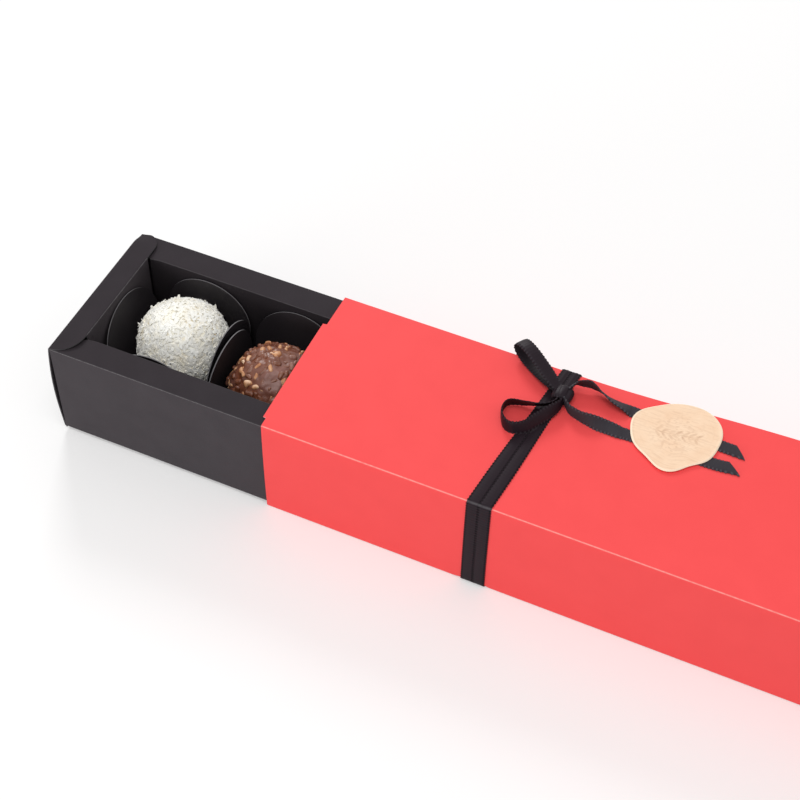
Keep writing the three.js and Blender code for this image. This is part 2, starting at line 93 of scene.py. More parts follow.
def split_by_rays(tree, lighting, seen):
    """One shader for the light that a thing casts, and another where the picture shows it."""
    rays = add_node(tree, "ShaderNodeLightPath").outputs
    direct = add_math(tree, "MAXIMUM", rays["Is Camera Ray"], rays["Is Glossy Ray"])
    direct = add_math(tree, "MAXIMUM", direct, rays["Is Transmission Ray"])
    mixed = add_node(tree, "ShaderNodeMixShader", {0: direct, 1: lighting.outputs[0], 2: seen.outputs[0]})
    return mixed.outputs[0]


def new_material(name):
    material = bpy.data.materials.new(name)
    material.use_nodes = True
    material.node_tree.nodes.clear()
    return material, material.node_tree


def add_mesh(name, corners, faces, *finishes):
    mesh = bpy.data.meshes.new(name)
    mesh.from_pydata(corners, [], faces)
    for finish in finishes:
        mesh.materials.append(finish)
    return add_object(name, mesh)


def add_lamp(name, place, target, width, height, power):
    data = bpy.data.lights.new(name, "AREA")
    data.shape = "RECTANGLE"
    data.size = width
    data.size_y = height
    data.energy = power
    lamp = add_object(name, data)
    lamp.location = place
    lamp.rotation_mode = "QUATERNION"
    lamp.rotation_quaternion = (Vector(target) - Vector(place)).to_track_quat("-Z", "Y")


surround_strength = 0.52
white = (1, 1, 1, 1)
world = bpy.data.worlds.new("surround")
world.use_nodes = True
world_tree = world.node_tree
world_tree.nodes.clear()
world_light = add_node(world_tree, "ShaderNodeBackground", {"Color": white, "Strength": surround_strength})
world_white = add_node(world_tree, "ShaderNodeBackground", {"Color": white, "Strength": 1.0})
world_shader = split_by_rays(world_tree, world_light, world_white)
add_node(world_tree, "ShaderNodeOutputWorld", {"Surface": world_shader})
bpy.context.scene.world = world

square = ((-1, -1), (1, -1), (1, 1), (-1, 1))
floor_half = 3.0
floor_finish, floor_tree = new_material("white_sweep")
floor_glow = add_node(floor_tree, "ShaderNodeEmission", {"Color": (1.0, 0.99, 0.992, 1), "Strength": 0.275})
floor_dark = add_node(floor_tree, "ShaderNodeEmission", {"Color": (0, 0, 0, 1), "Strength": 0.0})
floor_paint = add_node(floor_tree, "ShaderNodeBsdfDiffuse", {"Color": (0.74, 0.738, 0.735, 1)})
floor_sum = add_node(
    floor_tree, "ShaderNodeAddShader",
    {0: floor_paint.outputs[0], 1: split_by_rays(floor_tree, floor_dark, floor_glow)},
)
add_node(floor_tree, "ShaderNodeOutputMaterial", {"Surface": floor_sum.outputs[0]})
floor_corners = [(x * floor_half, y * floor_half, 0) for x, y in square]
add_mesh("floor", floor_corners, [(0, 1, 2, 3)], floor_finish)

add_lamp("back_lamp", (-0.9, 1.2, 1.0), (-0.04, 0, 0), 0.45, 0.45, 9.5)
add_lamp("overhead_lamp", (-0.05, -0.32, 1.2), (-0.06, 0, 0), 0.8, 0.8, 5.0)
add_lamp("front_lamp", (-0.35, -0.62, 0.12), (-0.08, 0, 0.02), 0.5, 0.12, 1.35)


# Tray
# One blank of charcoal card. Its long sides fold up, over and down into hollow double walls. The end panels
# do the same a card's thickness higher, and end in rounded ears that lap the long rims.
def new_group(name, inputs, outputs):
    """A node group whose sockets are all numbers, and the sockets that bring its inputs."""
    group = bpy.data.node_groups.new(name, "ShaderNodeTree")
    for label, default in inputs.items():
        socket = group.interface.new_socket(label, in_out="INPUT", socket_type="NodeSocketFloat")
        socket.default_value = default
    for label in outputs:
        group.interface.new_socket(label, in_out="OUTPUT", socket_type="NodeSocketFloat")
    return group, add_node(group, "NodeGroupInput").outputs


def use_group(tree, group, inputs=None):
    return add_node(tree, "ShaderNodeGroup", inputs, node_tree=group).outputs


def mix_colour(tree, share, start, end):
    """Start turned into end by a share. A mix node takes its colours in sockets 6 and 7."""
    start, end = ((*value, 1) if isinstance(value, tuple) else value for value in (start, end))
    return add_node(tree, "ShaderNodeMix", {0: share, 6: start, 7: end}, data_type="RGBA").outputs[2]


def map_range(tree, value, low, high, to_low=0.0, to_high=1.0):
    ends = {"From Min": low, "From Max": high, "To Min": to_low, "To Max": to_high}
    return add_node(tree, "ShaderNodeMapRange", {"Value": value, **ends}).outputs[0]


def object_noise(tree, scale, detail):
    place = add_node(tree, "ShaderNodeTexCoord").outputs["Object"]
    inputs = {"Vector": place, "Scale": scale, "Detail": detail}
    return add_node(tree, "ShaderNodeTexNoise", inputs).outputs["Fac"]


def add_skin(tree, colour, roughness, height, depth, strength=1.0, **levels):
    """The surface shader, whose roughness follows a mask between two values, with a relief of some depth."""
    mask, low, high = roughness
    bump = add_node(tree, "ShaderNodeBump", {"Height": height, "Strength": strength, "Distance": depth})
    rough = map_range(tree, mask, 0.0, 1.0, low, high)
    inputs = {"Base Color": colour, "Roughness": rough, "Normal": bump.outputs[0]}
    for label, level in levels.items():
        inputs[label.replace("_", " ")] = level
    skin = add_node(tree, "ShaderNodeBsdfPrincipled", inputs)
    add_node(tree, "ShaderNodeOutputMaterial", {"Surface": skin.outputs[0]})


# Mottling, as in the fibres of board: soft blotches and a fine tooth
mottle, mottle_in = new_group("mottle", {"Blotch Scale": 120.0, "Tooth Scale": 2600.0}, ["Blotch", "Tooth"])
mottle_blotch = object_noise(mottle, mottle_in["Blotch Scale"], 4.0)
mottle_tooth = object_noise(mottle, mottle_in["Tooth Scale"], 5.0)
add_node(mottle, "NodeGroupOutput", {"Blotch": mottle_blotch, "Tooth": mottle_tooth})

# Pale folds: a mask where the surface faces between the box's own directions, broken up by noise
# On card the pale folds are part scuffed wear and part painted highlight; on the ribbon, painted highlight
flat_facing = 0.93
folded_facing = 0.78
fold_scuff_and_highlight, fold_mark_in = new_group("fold_scuff_and_highlight", {"Breakup": 700.0}, ["Mask"])
fold_mark_face = add_node(fold_scuff_and_highlight, "ShaderNodeNewGeometry").outputs["Normal"]
fold_mark_size = add_node(fold_scuff_and_highlight, "ShaderNodeVectorMath", {0: fold_mark_face}, operation="ABSOLUTE").outputs[0]
fold_mark_axes = add_node(fold_scuff_and_highlight, "ShaderNodeSeparateXYZ", {0: fold_mark_size}).outputs
fold_mark_most = add_math(fold_scuff_and_highlight, "MAXIMUM", fold_mark_axes[0], fold_mark_axes[1])
fold_mark_most = add_math(fold_scuff_and_highlight, "MAXIMUM", fold_mark_most, fold_mark_axes[2])
fold_mark_turned = map_range(fold_scuff_and_highlight, fold_mark_most, flat_facing, folded_facing)
fold_mark_noise = object_noise(fold_scuff_and_highlight, fold_mark_in["Breakup"], 3.0)
fold_mark_break = map_range(fold_scuff_and_highlight, fold_mark_noise, 0.3, 0.55, to_low=0.55)
add_node(fold_scuff_and_highlight, "NodeGroupOutput", {"Mask": add_math(fold_scuff_and_highlight, "MULTIPLY", fold_mark_turned, fold_mark_break)})
rough_play = 0.06


def card_finish(name, dark, light, scuff_and_highlight_colour, roughness, tooth_depth, scuff_and_highlight_amount, tooth_scale=2600.0, gloss=0.2):
    """Card blotchy from dark to light, with a tooth, and folds in another colour: scuffs and painted
    highlight.
    """
    material, tree = new_material(name)
    grain = use_group(tree, mottle, {"Tooth Scale": tooth_scale})
    tone = mix_colour(tree, grain["Blotch"], dark, light)
    # Folds turn to their own colour: part scuffed wear, part painted highlight
    wear = add_math(tree, "MULTIPLY", use_group(tree, fold_scuff_and_highlight)["Mask"], scuff_and_highlight_amount)
    colour = mix_colour(tree, wear, tone, scuff_and_highlight_colour)
    rough = (grain["Tooth"], roughness - rough_play, roughness + rough_play)
    add_skin(tree, colour, rough, grain["Tooth"], tooth_depth, Specular_IOR_Level=gloss)
    return material


def apply_modifiers(made, sharp_angle=40):
    bpy.context.view_layer.update()
    shown = made.evaluated_get(bpy.context.evaluated_depsgraph_get())
    mesh = bpy.data.meshes.new_from_object(shown)
    made.modifiers.clear()
    made.data = mesh
    mesh.shade_smooth()
    mesh.set_sharp_from_angle(angle=radians(sharp_angle))


tiny = 0.001 * mm


def card_sheet(name, grids, card, finish, edge_finish, closed=False):
    """A sheet of card from grids of points on its printed side, which faces a viewer who sees each row run
    to the right and the next row above it. Points that the grids share are joined."""
    corners, faces, known = [], [], {}
    for rows in grids:
        numbered = []
        for row in rows:
            numbers = []
            for point in row:
                key = tuple(round(value / tiny) for value in point)
                if key not in known:
                    known[key] = len(corners)
                    corners.append(point)
                numbers.append(known[key])
            numbered.append(numbers)
        if closed:
            numbered.append(numbered[0])
        for before, after in zip(numbered, numbered[1:]):
            for c in range(len(before) - 1):
                face = (before[c], before[c + 1], after[c + 1], after[c])
                faces.append(tuple(dict.fromkeys(face)))
    made = add_mesh(name, corners, [face for face in faces if len(face) > 2], finish, edge_finish)
    thickness = made.modifiers.new("thickness", "SOLIDIFY")
    thickness.thickness = card
    thickness.offset = -1
    thickness.material_offset_rim = 1
    apply_modifiers(made)
    return made


def refinish(sheet, finish, chosen):
    """Another finish for the faces that are chosen, the sheet's cut edges left out."""
    sheet.data.materials.append(finish)
    for face in sheet.data.polygons:
        if face.material_index == 0 and chosen(face):
            face.material_index = len(sheet.data.materials) - 1


def even(low, high, count):
    return [low + (high - low) * k / (count - 1) for k in range(count)]


def fold_path(stops, radius, steps=5):
    """Points of a folded card's profile through its fold lines, each rounded by a radius."""
    stops = [Vector(stop) for stop in stops]
    path = [stops[0]]
    for before, fold, after in zip(stops, stops[1:], stops[2:]):
        back = (before - fold).normalized() * radius
        ahead = (after - fold).normalized() * radius
        for k in range(steps + 1):
            turn = (k / steps) * pi / 2
            path.append(fold + back * (1 - sin(turn)) + ahead * (1 - cos(turn)))
    path.append(stops[-1])
    return path


def fill_in(path, longest):
    """The same path with points added wherever two lie further apart than the longest step."""
    filled = [path[0]]
    for before, after in zip(path, path[1:]):
        parts = max(1, ceil((after - before).length / longest))
        filled += [before.lerp(after, (k + 1) / parts) for k in range(parts)]
    return filled


def step_up(value, low, high):
    """0 below low, 1 above high, and a smooth rise between them."""
    t = max(0.0, min(1.0, (value - low) / (high - low)))
    return t * t * (3 - 2 * t)


def noise_at(x, y, z):
    return noise.noise(Vector((x, y, z)))


def wander(x, y, seed, size):
    """A slow wave of a sheet of card that isn't quite flat."""
    return size * noise_at(x / (45 * mm), y / (30 * mm), seed)


tray_low, tray_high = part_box("tray")
tray_card = 0.35 * mm
tray_fold = 0.5 * mm
end_fold = tray_fold * 0.9
side_rim = 8 * mm
end_rim = 7 * mm
corner_slit = 0.6 * mm
foot_gap = 0.3 * mm
back_ear_round = 4.5 * mm
ear_steps = 17
end_bulge = 1.1 * mm
ear_lift = 0.14 * mm
rim_dip = 0.7 * mm
ear_lift_start = 1.2 * mm
ear_lift_fade = (3 * mm, 7.5 * mm)
body_wave = 0.12 * mm
end_wave = 0.1 * mm
knock = 0.95 * mm
knock_reach = 4.5 * mm
knock_depth = 8 * mm
facing_up = 0.7
rim_top = tray_high.z - tray_card
half_width = tray_high.y
well_half = half_width - side_rim
foot = tray_low.z + tray_card + foot_gap
black_card = card_finish(
    "black_card", (0.044, 0.037, 0.042), (0.06, 0.051, 0.057), (0.4, 0.385, 0.392), 0.72, 0.05 * mm, 0.85
)
# Darker copies of the same card, painted shade: for faces that look up, and for walls hanging in the well
black_card_painted_shade_up = card_finish(
    "black_card_painted_shade_up", (0.03, 0.0248, 0.0285), (0.041, 0.034, 0.039), (0.075, 0.069, 0.073), 0.78,
    0.05 * mm, 0.8, gloss=0.1,
)
black_card_shaded = card_finish(
    "black_card_shaded", (0.0165, 0.0135, 0.0158), (0.023, 0.019, 0.022), (0.055, 0.051, 0.054), 0.8,
    0.05 * mm, 0.8, gloss=0.1,
)
black_card_edge = card_finish(
    "black_card_edge", (0.05, 0.046, 0.05), (0.09, 0.085, 0.09), (0.12, 0.11, 0.115), 0.85, 0.06 * mm, 0.0
)


def faces_up(face):
    return face.normal.z > facing_up


def hangs_inside(face):
    return abs(face.center.y) < well_half + tray_card and face.center.z > foot


def ear_dip(x, y):
    """How far the long rims sink beneath the ears, most beside their inner corners."""
    depth = min(x - tray_low.x, tray_high.x - x)
    past = abs(y) - well_half
    below_ear = 1 - step_up(depth, end_rim - 1 * mm, end_rim + 4 * mm)
    return rim_dip * below_ear * (1 - step_up(past, 2 * mm, side_rim))


def knocked(x, y, z):
    """How far the tray's back corners are knocked down, on top of its walls and rims."""
    off = hypot(min(x - tray_low.x, tray_high.x - x), half_width - y)
    return knock * (1 - step_up(off, 0, knock_reach)) * step_up(z, rim_top - knock_depth, rim_top)


def from_far_end(x):
    """The place that lies as far from the tray's far end as x does from its near end."""
    return tray_high.x + tray_low.x - x


# Places along the tray, closer together at the slits that free its inner walls from the end panels
hung_start = tray_low.x + end_rim + corner_slit / 2
hung_even_start = hung_start + 5 * mm
end_stations = even(tray_low.x + tray_card, hung_start, 10)[:-1]
hung_near = even(hung_start, hung_even_start, 8)[:-1]
hung_middle = even(hung_even_start, from_far_end(hung_even_start), 52)
hung_stations = hung_near + hung_middle + [from_far_end(x) for x in reversed(hung_near)]
body_stations = end_stations + hung_stations + [from_far_end(x) for x in reversed(end_stations)]
body_stops = [(well_half, foot), (well_half, rim_top), (half_width, rim_top), (half_width, tray_low.z)]
body_stops += [(-y, z) for y, z in reversed(body_stops)]
body_rows = []
for y, z in fill_in(fold_path(body_stops, tray_fold), 4 * mm):
    on_top = z > rim_top - tray_fold and abs(y) < half_width - tray_fold
    row = []
    for x in body_stations:
        outward = wander(x, y + z, 1.0, body_wave)
        dip = ear_dip(x, y) if on_top else 0.0
        row.append(Vector((x, y + copysign(outward, y), z - dip - knocked(x, y, z))))
    body_rows.append(row)
on_rim = [k for k, row in enumerate(body_rows) if abs(row[len(row) // 2].z - rim_top) < tiny]
hung = slice(len(end_stations), len(end_stations) + len(hung_stations))
body_grids = [
    [row[hung] for row in body_rows[:on_rim[0] + 1]],
    body_rows[on_rim[0]:on_rim[-1] + 1],
    [row[hung] for row in body_rows[on_rim[-1]:]],
]
tray_body = card_sheet("tray_folded_body", body_grids, tray_card, black_card, black_card_edge)
# Faces that look up get painted shade, and the walls hanging in the well a darker painted shade
refinish(tray_body, black_card_painted_shade_up, faces_up)
refinish(tray_body, black_card_shaded, hangs_inside)


def ear_edge(y):
    """How far the end's rim reaches in. Its ears are a quarter ellipse in front and rounded behind."""
    if y < -well_half:
        return end_rim * sqrt(max(0.0, 1 - ((-y - well_half) / side_rim) ** 2))
    past = max(0.0, y - (half_width - back_ear_round))
    return end_rim - back_ear_round + sqrt(max(0.0, back_ear_round**2 - past**2))


def make_tray_end(name, end_x, way):
    """An end panel: its outer side, the rim with its two ears, and the side that hangs inside."""
    slit = well_half - corner_slit
    ear = half_width - slit
    quarter = even(0, pi / 2, ear_steps)
    middle = even(-slit, slit, 24)
    across = [ear * (1 - cos(turn)) - half_width for turn in quarter] + middle[1:-1]
    across += [slit + ear * sin(turn) for turn in quarter]
    edges = [max(1.05 * end_fold, ear_edge(y)) for y in across]
    flat_end = end_rim - end_fold
    outside_stops = [(end_rim, tray_high.z), (0, tray_high.z), (0, tray_low.z), (tray_card, tray_low.z)]
    inside_stops = [(end_rim, foot), (end_rim, tray_high.z), (0, tray_high.z)]

    def lifted(depth, y):
        """How far an ear springs up from the rim that it laps, most near its inner corner."""
        past = abs(y) - slit
        near = step_up(past, 0, ear_lift_start) * (1 - step_up(past, *ear_lift_fade))
        return ear_lift * near * (depth / ear_edge(y)) ** 3 if past > 0 and ear_edge(y) > end_fold else 0.0

    def place(depth, y, height):
        """A point of the panel, some depth in from the tray's end."""
        rise = (height - tray_low.z) / (tray_high.z - tray_low.z)
        outer = depth < end_rim / 2
        bulge = end_bulge * sin(pi * rise) if outer else 0.0
        x = depth - bulge + wander(y, height, 2.0 + way, end_wave) * outer * (rise < 0.98)
        lift = lifted(depth, y) if rise > 0.999 else 0.0
        down = knocked(end_x + way * x, way * y, height)
        return Vector((end_x + way * x, way * y, height + lift - down))

    def rim_rows(start, reaches, count):
        """Rows along the rim, from a reach beyond a start for each place across it, back to that start."""
        return [
            [place(low + reach * share, y, tray_high.z) for y, low, reach in zip(across, start, reaches)]
            for share in even(1, 0, count)
        ]

    outside = fill_in(fold_path(outside_stops, end_fold)[1:], 1.5 * mm)
    inside = fill_in(fold_path(inside_stops, end_fold)[:-1], 2.5 * mm)
    flat = [min(flat_end, edge) for edge in edges]
    lap = rim_rows(flat, [max(0.0, edge - flat_end) for edge in edges], 4)
    last_ear = ear_steps + len(middle) - 2
    grids = [
        [[place(point[0], y, point[1]) for y in middle] for point in inside],
        [row[:ear_steps] for row in lap],
        [row[last_ear:] for row in lap],
        rim_rows([end_fold] * len(across), [edge - end_fold for edge in flat], 7),
        [[place(point[0], y, point[1]) for y in across] for point in outside],
    ]
    made = card_sheet(name, grids, tray_card, black_card, black_card_edge)
    # Faces that look up get the darker copy of the card: painted shade
    refinish(made, black_card_painted_shade_up, faces_up)
    return made


tray_near_end = make_tray_end("tray_near_end", tray_low.x, 1)
tray_far_end = make_tray_end("tray_far_end", tray_high.x, -1)
for piece in (tray_body, tray_near_end, tray_far_end):
    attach(piece, "tray_body")
    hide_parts("tray")

# Petal cups
# Each cup is one piece of thin black card: a square base and four round petals, folded up round a truffle.
# The petals spring back into a slight arc, and stop against the tray's walls or the next cup.
cup_card = 0.3 * mm
cup_finish = card_finish(
    "cup_card", (0.016, 0.0133, 0.0155), (0.025, 0.0213, 0.0245), (0.05, 0.048, 0.052), 0.45, 0.03 * mm, 0.0,
    gloss=0.3,
)
# The petals' cut edges are far paler than their faces: a painted highlight along their rims
cup_rim_highlight = card_finish(
    "cup_card_rim_highlight", (0.14, 0.133, 0.14), (0.21, 0.2, 0.21), (0.1, 0.1, 0.1), 0.7, 0.03 * mm, 0.0
)
cup_count = sum(1 for node_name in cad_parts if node_name.startswith("cup_"))
truffle_radius = 13 * mm
petal_room = 4 * mm
pitch_play = 0.5 * mm
seat_gap = 0.3 * mm
cup_base_half = truffle_radius - 2.2 * mm
petal_radius = truffle_radius + 0.2 * mm
petal_height = rim_top - tray_low.z - tray_card - 1 * mm
petal_neck_share = 0.62
petal_lean = radians(15)
petal_bend = radians(8)
petal_curve = 2 * petal_bend / petal_height
cup_pitch = 2 * (truffle_radius + petal_room) + pitch_play
cup_floor = tray_low.z + tray_card

# The first two cups, which the others repeat: their places off the middle of their cells, as shares of
# petal_room, and their petals' leans, as shares of petal_lean, right, back, left, front
cup_shift_shares = [(0.45, 0.3), (-0.95, -0.5)]
cup_lean_shares = [(0.41, 0.66, 1, 0.71), (1, 1, 0.3, 1)]


def lean_into(room):
    """The lean at which a petal's furthest point fills the room behind its fold."""
    bowed = acos(1 - petal_curve * max(0.0, room)) - petal_bend
    if bowed < petal_bend:
        return bowed
    return asin(min(1.0, room * petal_bend / (petal_height * sin(petal_bend))))


def petal_rows(lean):
    """Rows of points on a petal's outer face, which leans out to the right of the cup's base."""
    neck_turn = -acos(petal_neck_share)
    middle = petal_height - petal_radius
    neck_length = middle + petal_radius * sin(neck_turn)
    neck_half = petal_neck_share * petal_radius
    stops = [(neck_length * share, neck_half) for share in (0, 0.25, 0.5, 0.75)]
    for turn in even(neck_turn, radians(89.5), 44):
        stops.append((middle + petal_radius * sin(turn), petal_radius * cos(turn)))
    foot_angle = lean + petal_bend
    rows = []
    for length, half in stops:
        angle = foot_angle - petal_curve * length
        out = (cos(angle) - cos(foot_angle)) / petal_curve
        up = (sin(foot_angle) - sin(angle)) / petal_curve
        rows.append([Vector((cup_base_half + out, half * across, up)) for across in even(-1, 1, 15)])
    return rows


def make_cup(index):
    kind = index % len(cup_shift_shares)
    shift = [share * petal_room for share in cup_shift_shares[kind]]
    rooms = [cup_pitch / 2 - seat_gap - cup_base_half, well_half - seat_gap - cup_base_half]
    rooms = [rooms[0] - shift[0], rooms[1] - shift[1], rooms[0] + shift[0], rooms[1] + shift[1]]
    leans = [min(share * petal_lean, lean_into(room)) for share, room in zip(cup_lean_shares[kind], rooms)]
    middle = Vector((tray_low.x + end_rim + (index + 0.5) * cup_pitch + shift[0], shift[1], cup_floor))
    base_places = even(-cup_base_half, cup_base_half, 9)
    base_rows = [[Vector((x, y, cup_card)) for x in base_places] for y in base_places]
    pieces = [card_sheet(f"cup_{index + 1}_base", [base_rows], cup_card, cup_finish, cup_rim_highlight)]
    for quarter, lean in enumerate(leans):
        name = f"cup_{index + 1}_petal_{quarter + 1}"
        petal = card_sheet(name, [petal_rows(lean)], cup_card, cup_finish, cup_rim_highlight)
        petal.data.transform(Matrix.Rotation(quarter * pi / 2, 4, "Z"))
        pieces.append(petal)
    for piece in pieces:
        piece.data.transform(Matrix.Translation(middle))
        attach(piece, "tray_body")
        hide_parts(f"cup_{index + 1}")


for cup_index in range(cup_count):
    make_cup(cup_index)


# Truffles
# Soft chocolate balls that lie loose in their cups. They are rolled in turn in white coconut shreds, which
# cling flat with a few standing out, and in milk chocolate with chopped nuts.
def ball(name, radius, subdivisions, shape, finish):
    """A ball whose radius is multiplied by a shape for each direction."""
    made = add_mesh(name, [], [], finish)
    built = bmesh.new()
    bmesh.ops.create_icosphere(built, subdivisions=subdivisions, radius=radius)
    for corner in built.verts:
        corner.co = corner.co * shape(corner.co.normalized())
    built.to_mesh(made.data)
    built.free()
    made.data.shade_smooth()
    return made


def random_way(generator):
    return Vector((generator.gauss(0, 1), generator.gauss(0, 1), generator.gauss(0, 1))).normalized()


def scatter(generator, count):
    """Even directions over a ball, each a little off its place."""
    golden = pi * (3 - sqrt(5))
    for k in range(count):
        height = 1 - 2 * (k + 0.5) / count
        level = sqrt(1 - height * height)
        place = Vector((level * cos(golden * k), level * sin(golden * k), height))
        yield (place + random_way(generator) * 1.6 / sqrt(count)).normalized()


def speckled_finish(name, scale, roughness, depth, colours, sheen=0.0):
    """Colours in speckles of one scale, with a relief and a change of gloss five times as fine."""
    material, tree = new_material(name)
    grain = use_group(tree, mottle, {"Blotch Scale": scale, "Tooth Scale": scale * 5})
    speckle, fine = grain["Blotch"], grain["Tooth"]
    ramp = add_node(tree, "ShaderNodeValToRGB", {"Fac": speckle})
    low, high = 0.3, 0.7
    stops = ramp.color_ramp.elements
    stops[0].position, stops[1].position = low, high
    stops[0].color, stops[1].color = (*colours[0], 1), (*colours[-1], 1)
    for k, colour in enumerate(colours[1:-1]):
        stops.new(low + (high - low) * (k + 1) / (len(colours) - 1)).color = (*colour, 1)
    rough = (fine, roughness - 0.1, roughness + 0.1)
    add_skin(tree, ramp.outputs["Color"], rough, fine, depth, Sheen_Weight=sheen, Sheen_Roughness=0.5)
    return material


coconut_finish = speckled_finish(
    "coconut_shreds", 300.0, 0.7, 0.008 * mm, [(0.98, 0.93, 0.8), (1.0, 0.98, 0.91), (1.0, 0.995, 0.95)],
    sheen=0.95,
)
coconut_core_finish = speckled_finish(
    "coconut_core", 230.0, 0.75, 0.015 * mm, [(0.82, 0.7, 0.5), (0.98, 0.945, 0.83), (1.0, 0.985, 0.91)],
    sheen=0.95,
)
chocolate_finish = speckled_finish(
    "milk_chocolate", 110.0, 0.38, 0.06 * mm,
    [(0.1, 0.021, 0.007), (0.18, 0.05, 0.02), (0.175, 0.063, 0.042), (0.25, 0.105, 0.081)],
)
nut_finish = speckled_finish(
    "roasted_nut", 420.0, 0.4, 0.05 * mm, [(0.36, 0.12, 0.045), (0.62, 0.3, 0.14), (0.9, 0.64, 0.44)]
)
nut_glazed_finish = speckled_finish(
    "glazed_nut", 240.0, 0.32, 0.05 * mm, [(0.12, 0.03, 0.012), (0.2, 0.067, 0.033), (0.29, 0.138, 0.105)]
)
coconut_seed = 40
shred_count = 2700
standing_share = 0.09
nut_seed = 80
nut_count = 440
bare_nut_share = 0.34
coated_growth = 1.2

# Where the rings of a shred and of a nut lie along it, and how wide they are, as shares
shred_rings = ((-0.5, 0.45), (-0.15, 1.0), (0.2, 0.95), (0.5, 0.35))
nut_rings = ((-0.5, 0.62), (-0.2, 1.0), (0.2, 0.95), (0.5, 0.5))
nut_corners = ((-1, -1), (1, -1), (0.8, 1), (-0.7, 1))

# Lumps of the two skins: heights as shares of the radius, and how fine each is
coconut_lumps = ((0.03, 2.2), (0.022, 6))
chocolate_lumps = ((0.03, 2.2), (0.03, 5), (0.012, 13))


def lumpy(out, seed, lumps):
    return sum(height * noise.noise(out * scale + seed) for height, scale in lumps)


def shred(centre, out, generator):
    """The ring corners of one curled coconut shred, lying nearly flat on the ball."""
    along = out.cross(random_way(generator)).normalized()
    stands = generator.random() < standing_share
    along = (along + out * generator.gauss(0.03, 0.75 if stands else 0.14)).normalized()
    across = out.cross(along).normalized()
    up = along.cross(across)
    draw = generator.uniform
    length = draw(1.0, 2.6) * mm
    width = draw(0.45, 1.05) * mm
    thick = draw(0.18, 0.34) * mm
    curl = draw(-0.08, 0.2) * mm
    rings = []
    for place, taper in shred_rings:
        middle = centre + along * place * length - up * curl * (4 * place * place)
        rings.append([
            middle + across * (a * width * taper / 2) + up * (b * thick * (0.5 + taper / 2) / 2)
            for a, b in square
        ])
    return rings


def nut_chip(middle, out, along, length, width, draw):
    """The ring corners of one chopped nut, each ring a little askew."""
    across = out.cross(along)
    rings = []
    for place, taper in nut_rings:
        lean = draw(-0.22, 0.22)
        rings.append([
            middle + along * (place * length) + across * (a * width * taper / 2 + lean * width)
            + out * (b * width * (0.2 + taper / 6) + lean * width * 0.6)
            for a, b in nut_corners
        ])
    return rings


def tube_faces(start, rings, spokes):
    """The sides and the two ends of a tube of rings, whose corners are counted from a start."""
    last = start + (rings - 1) * spokes
    faces = [tuple(reversed(range(start, start + spokes))), tuple(range(last, last + spokes))]
    for first in range(start, last, spokes):
        for s in range(spokes):
            a, b = first + s, first + (s + 1) % spokes
            faces.append((a, b, b + spokes, a + spokes))
    return faces


def turned_over(faces):
    return [(face[0], *face[:0:-1]) for face in faces]


def add_bits(name, shapes, finish):
    """One mesh of many small closed bits, each a row of rings with four corners."""
    corners, faces = [], []
    for rings in shapes:
        faces += tube_faces(len(corners), len(rings), 4)
        corners += [corner for ring in rings for corner in ring]
    return add_mesh(name, corners, faces, finish)


def make_coconut_truffle(index, radius):
    generator = random.Random(coconut_seed + index)
    draw = generator.uniform
    seed = Vector((index * 7.3, 2.1, 5.5))

    def lump(out):
        return 1 + lumpy(out, seed, coconut_lumps)

    core = ball(f"truffle_{index}_core", radius * 1.005, 5, lump, coconut_core_finish)
    shreds = []
    for out in scatter(generator, shred_count):
        thicker = 0.012 * step_up(out.z, -0.8, 0)
        height = radius * (lump(out) * (1 + thicker) + draw(-0.004, 0.016))
        shreds.append(shred(out * height, out, generator))
    return [core, add_bits(f"truffle_{index}_coconut", shreds, coconut_finish)]


def make_nut_truffle(index, radius):
    generator = random.Random(nut_seed + index)
    draw = generator.uniform
    seed = Vector((index * 3.1, 8.2, 1.7))

    def skin(out):
        spread, cells = noise.voronoi(out * 5.2 + seed)
        nub = max(0.0, 1 - (spread[0] / 0.62) ** 2) * (0.5 + 0.5 * noise.noise(cells[0] * 3))
        return 0.985 + 0.055 * nub + lumpy(out, seed, chocolate_lumps)

    core = ball(f"truffle_{index}_chocolate", radius, 6, skin, chocolate_finish)
    chips, glazed = [], []
    for out in scatter(generator, nut_count):
        bare = generator.random() < bare_nut_share
        turned = Matrix.Rotation(draw(0, 2 * pi), 3, out)
        length = draw(1.0, 2.7) * mm * (1 if bare else coated_growth)
        width = length * draw(0.55, 1.0)
        sunk = draw(-0.024, -0.008) if bare else draw(-0.03, -0.01)
        middle = out * radius * (skin(out) + sunk)
        along = turned @ out.orthogonal().normalized()
        (chips if bare else glazed).append(nut_chip(middle, out, along, length, width, draw))
    bits = add_bits(f"truffle_{index}_nuts", chips, nut_finish)
    coated = add_bits(f"truffle_{index}_glazed_nuts", glazed, nut_glazed_finish)
    for piece in (bits, coated):
        rounding = piece.modifiers.new("rounding", "SUBSURF")
        rounding.levels = 2
        rounding.render_levels = 2
        apply_modifiers(piece, 70)
    return [core, bits, coated]


for truffle_index in range(1, cup_count + 1):
    truffle_low, truffle_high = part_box(f"truffle_{truffle_index}")
    is_nut = truffle_index % 2 == 0
    maker = make_nut_truffle if is_nut else make_coconut_truffle
    for piece in maker(truffle_index, truffle_radius):
        piece.data.transform(Matrix.Translation((truffle_low + truffle_high) / 2))
        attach(piece, "tray_body")
        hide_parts(f"truffle_{truffle_index}")

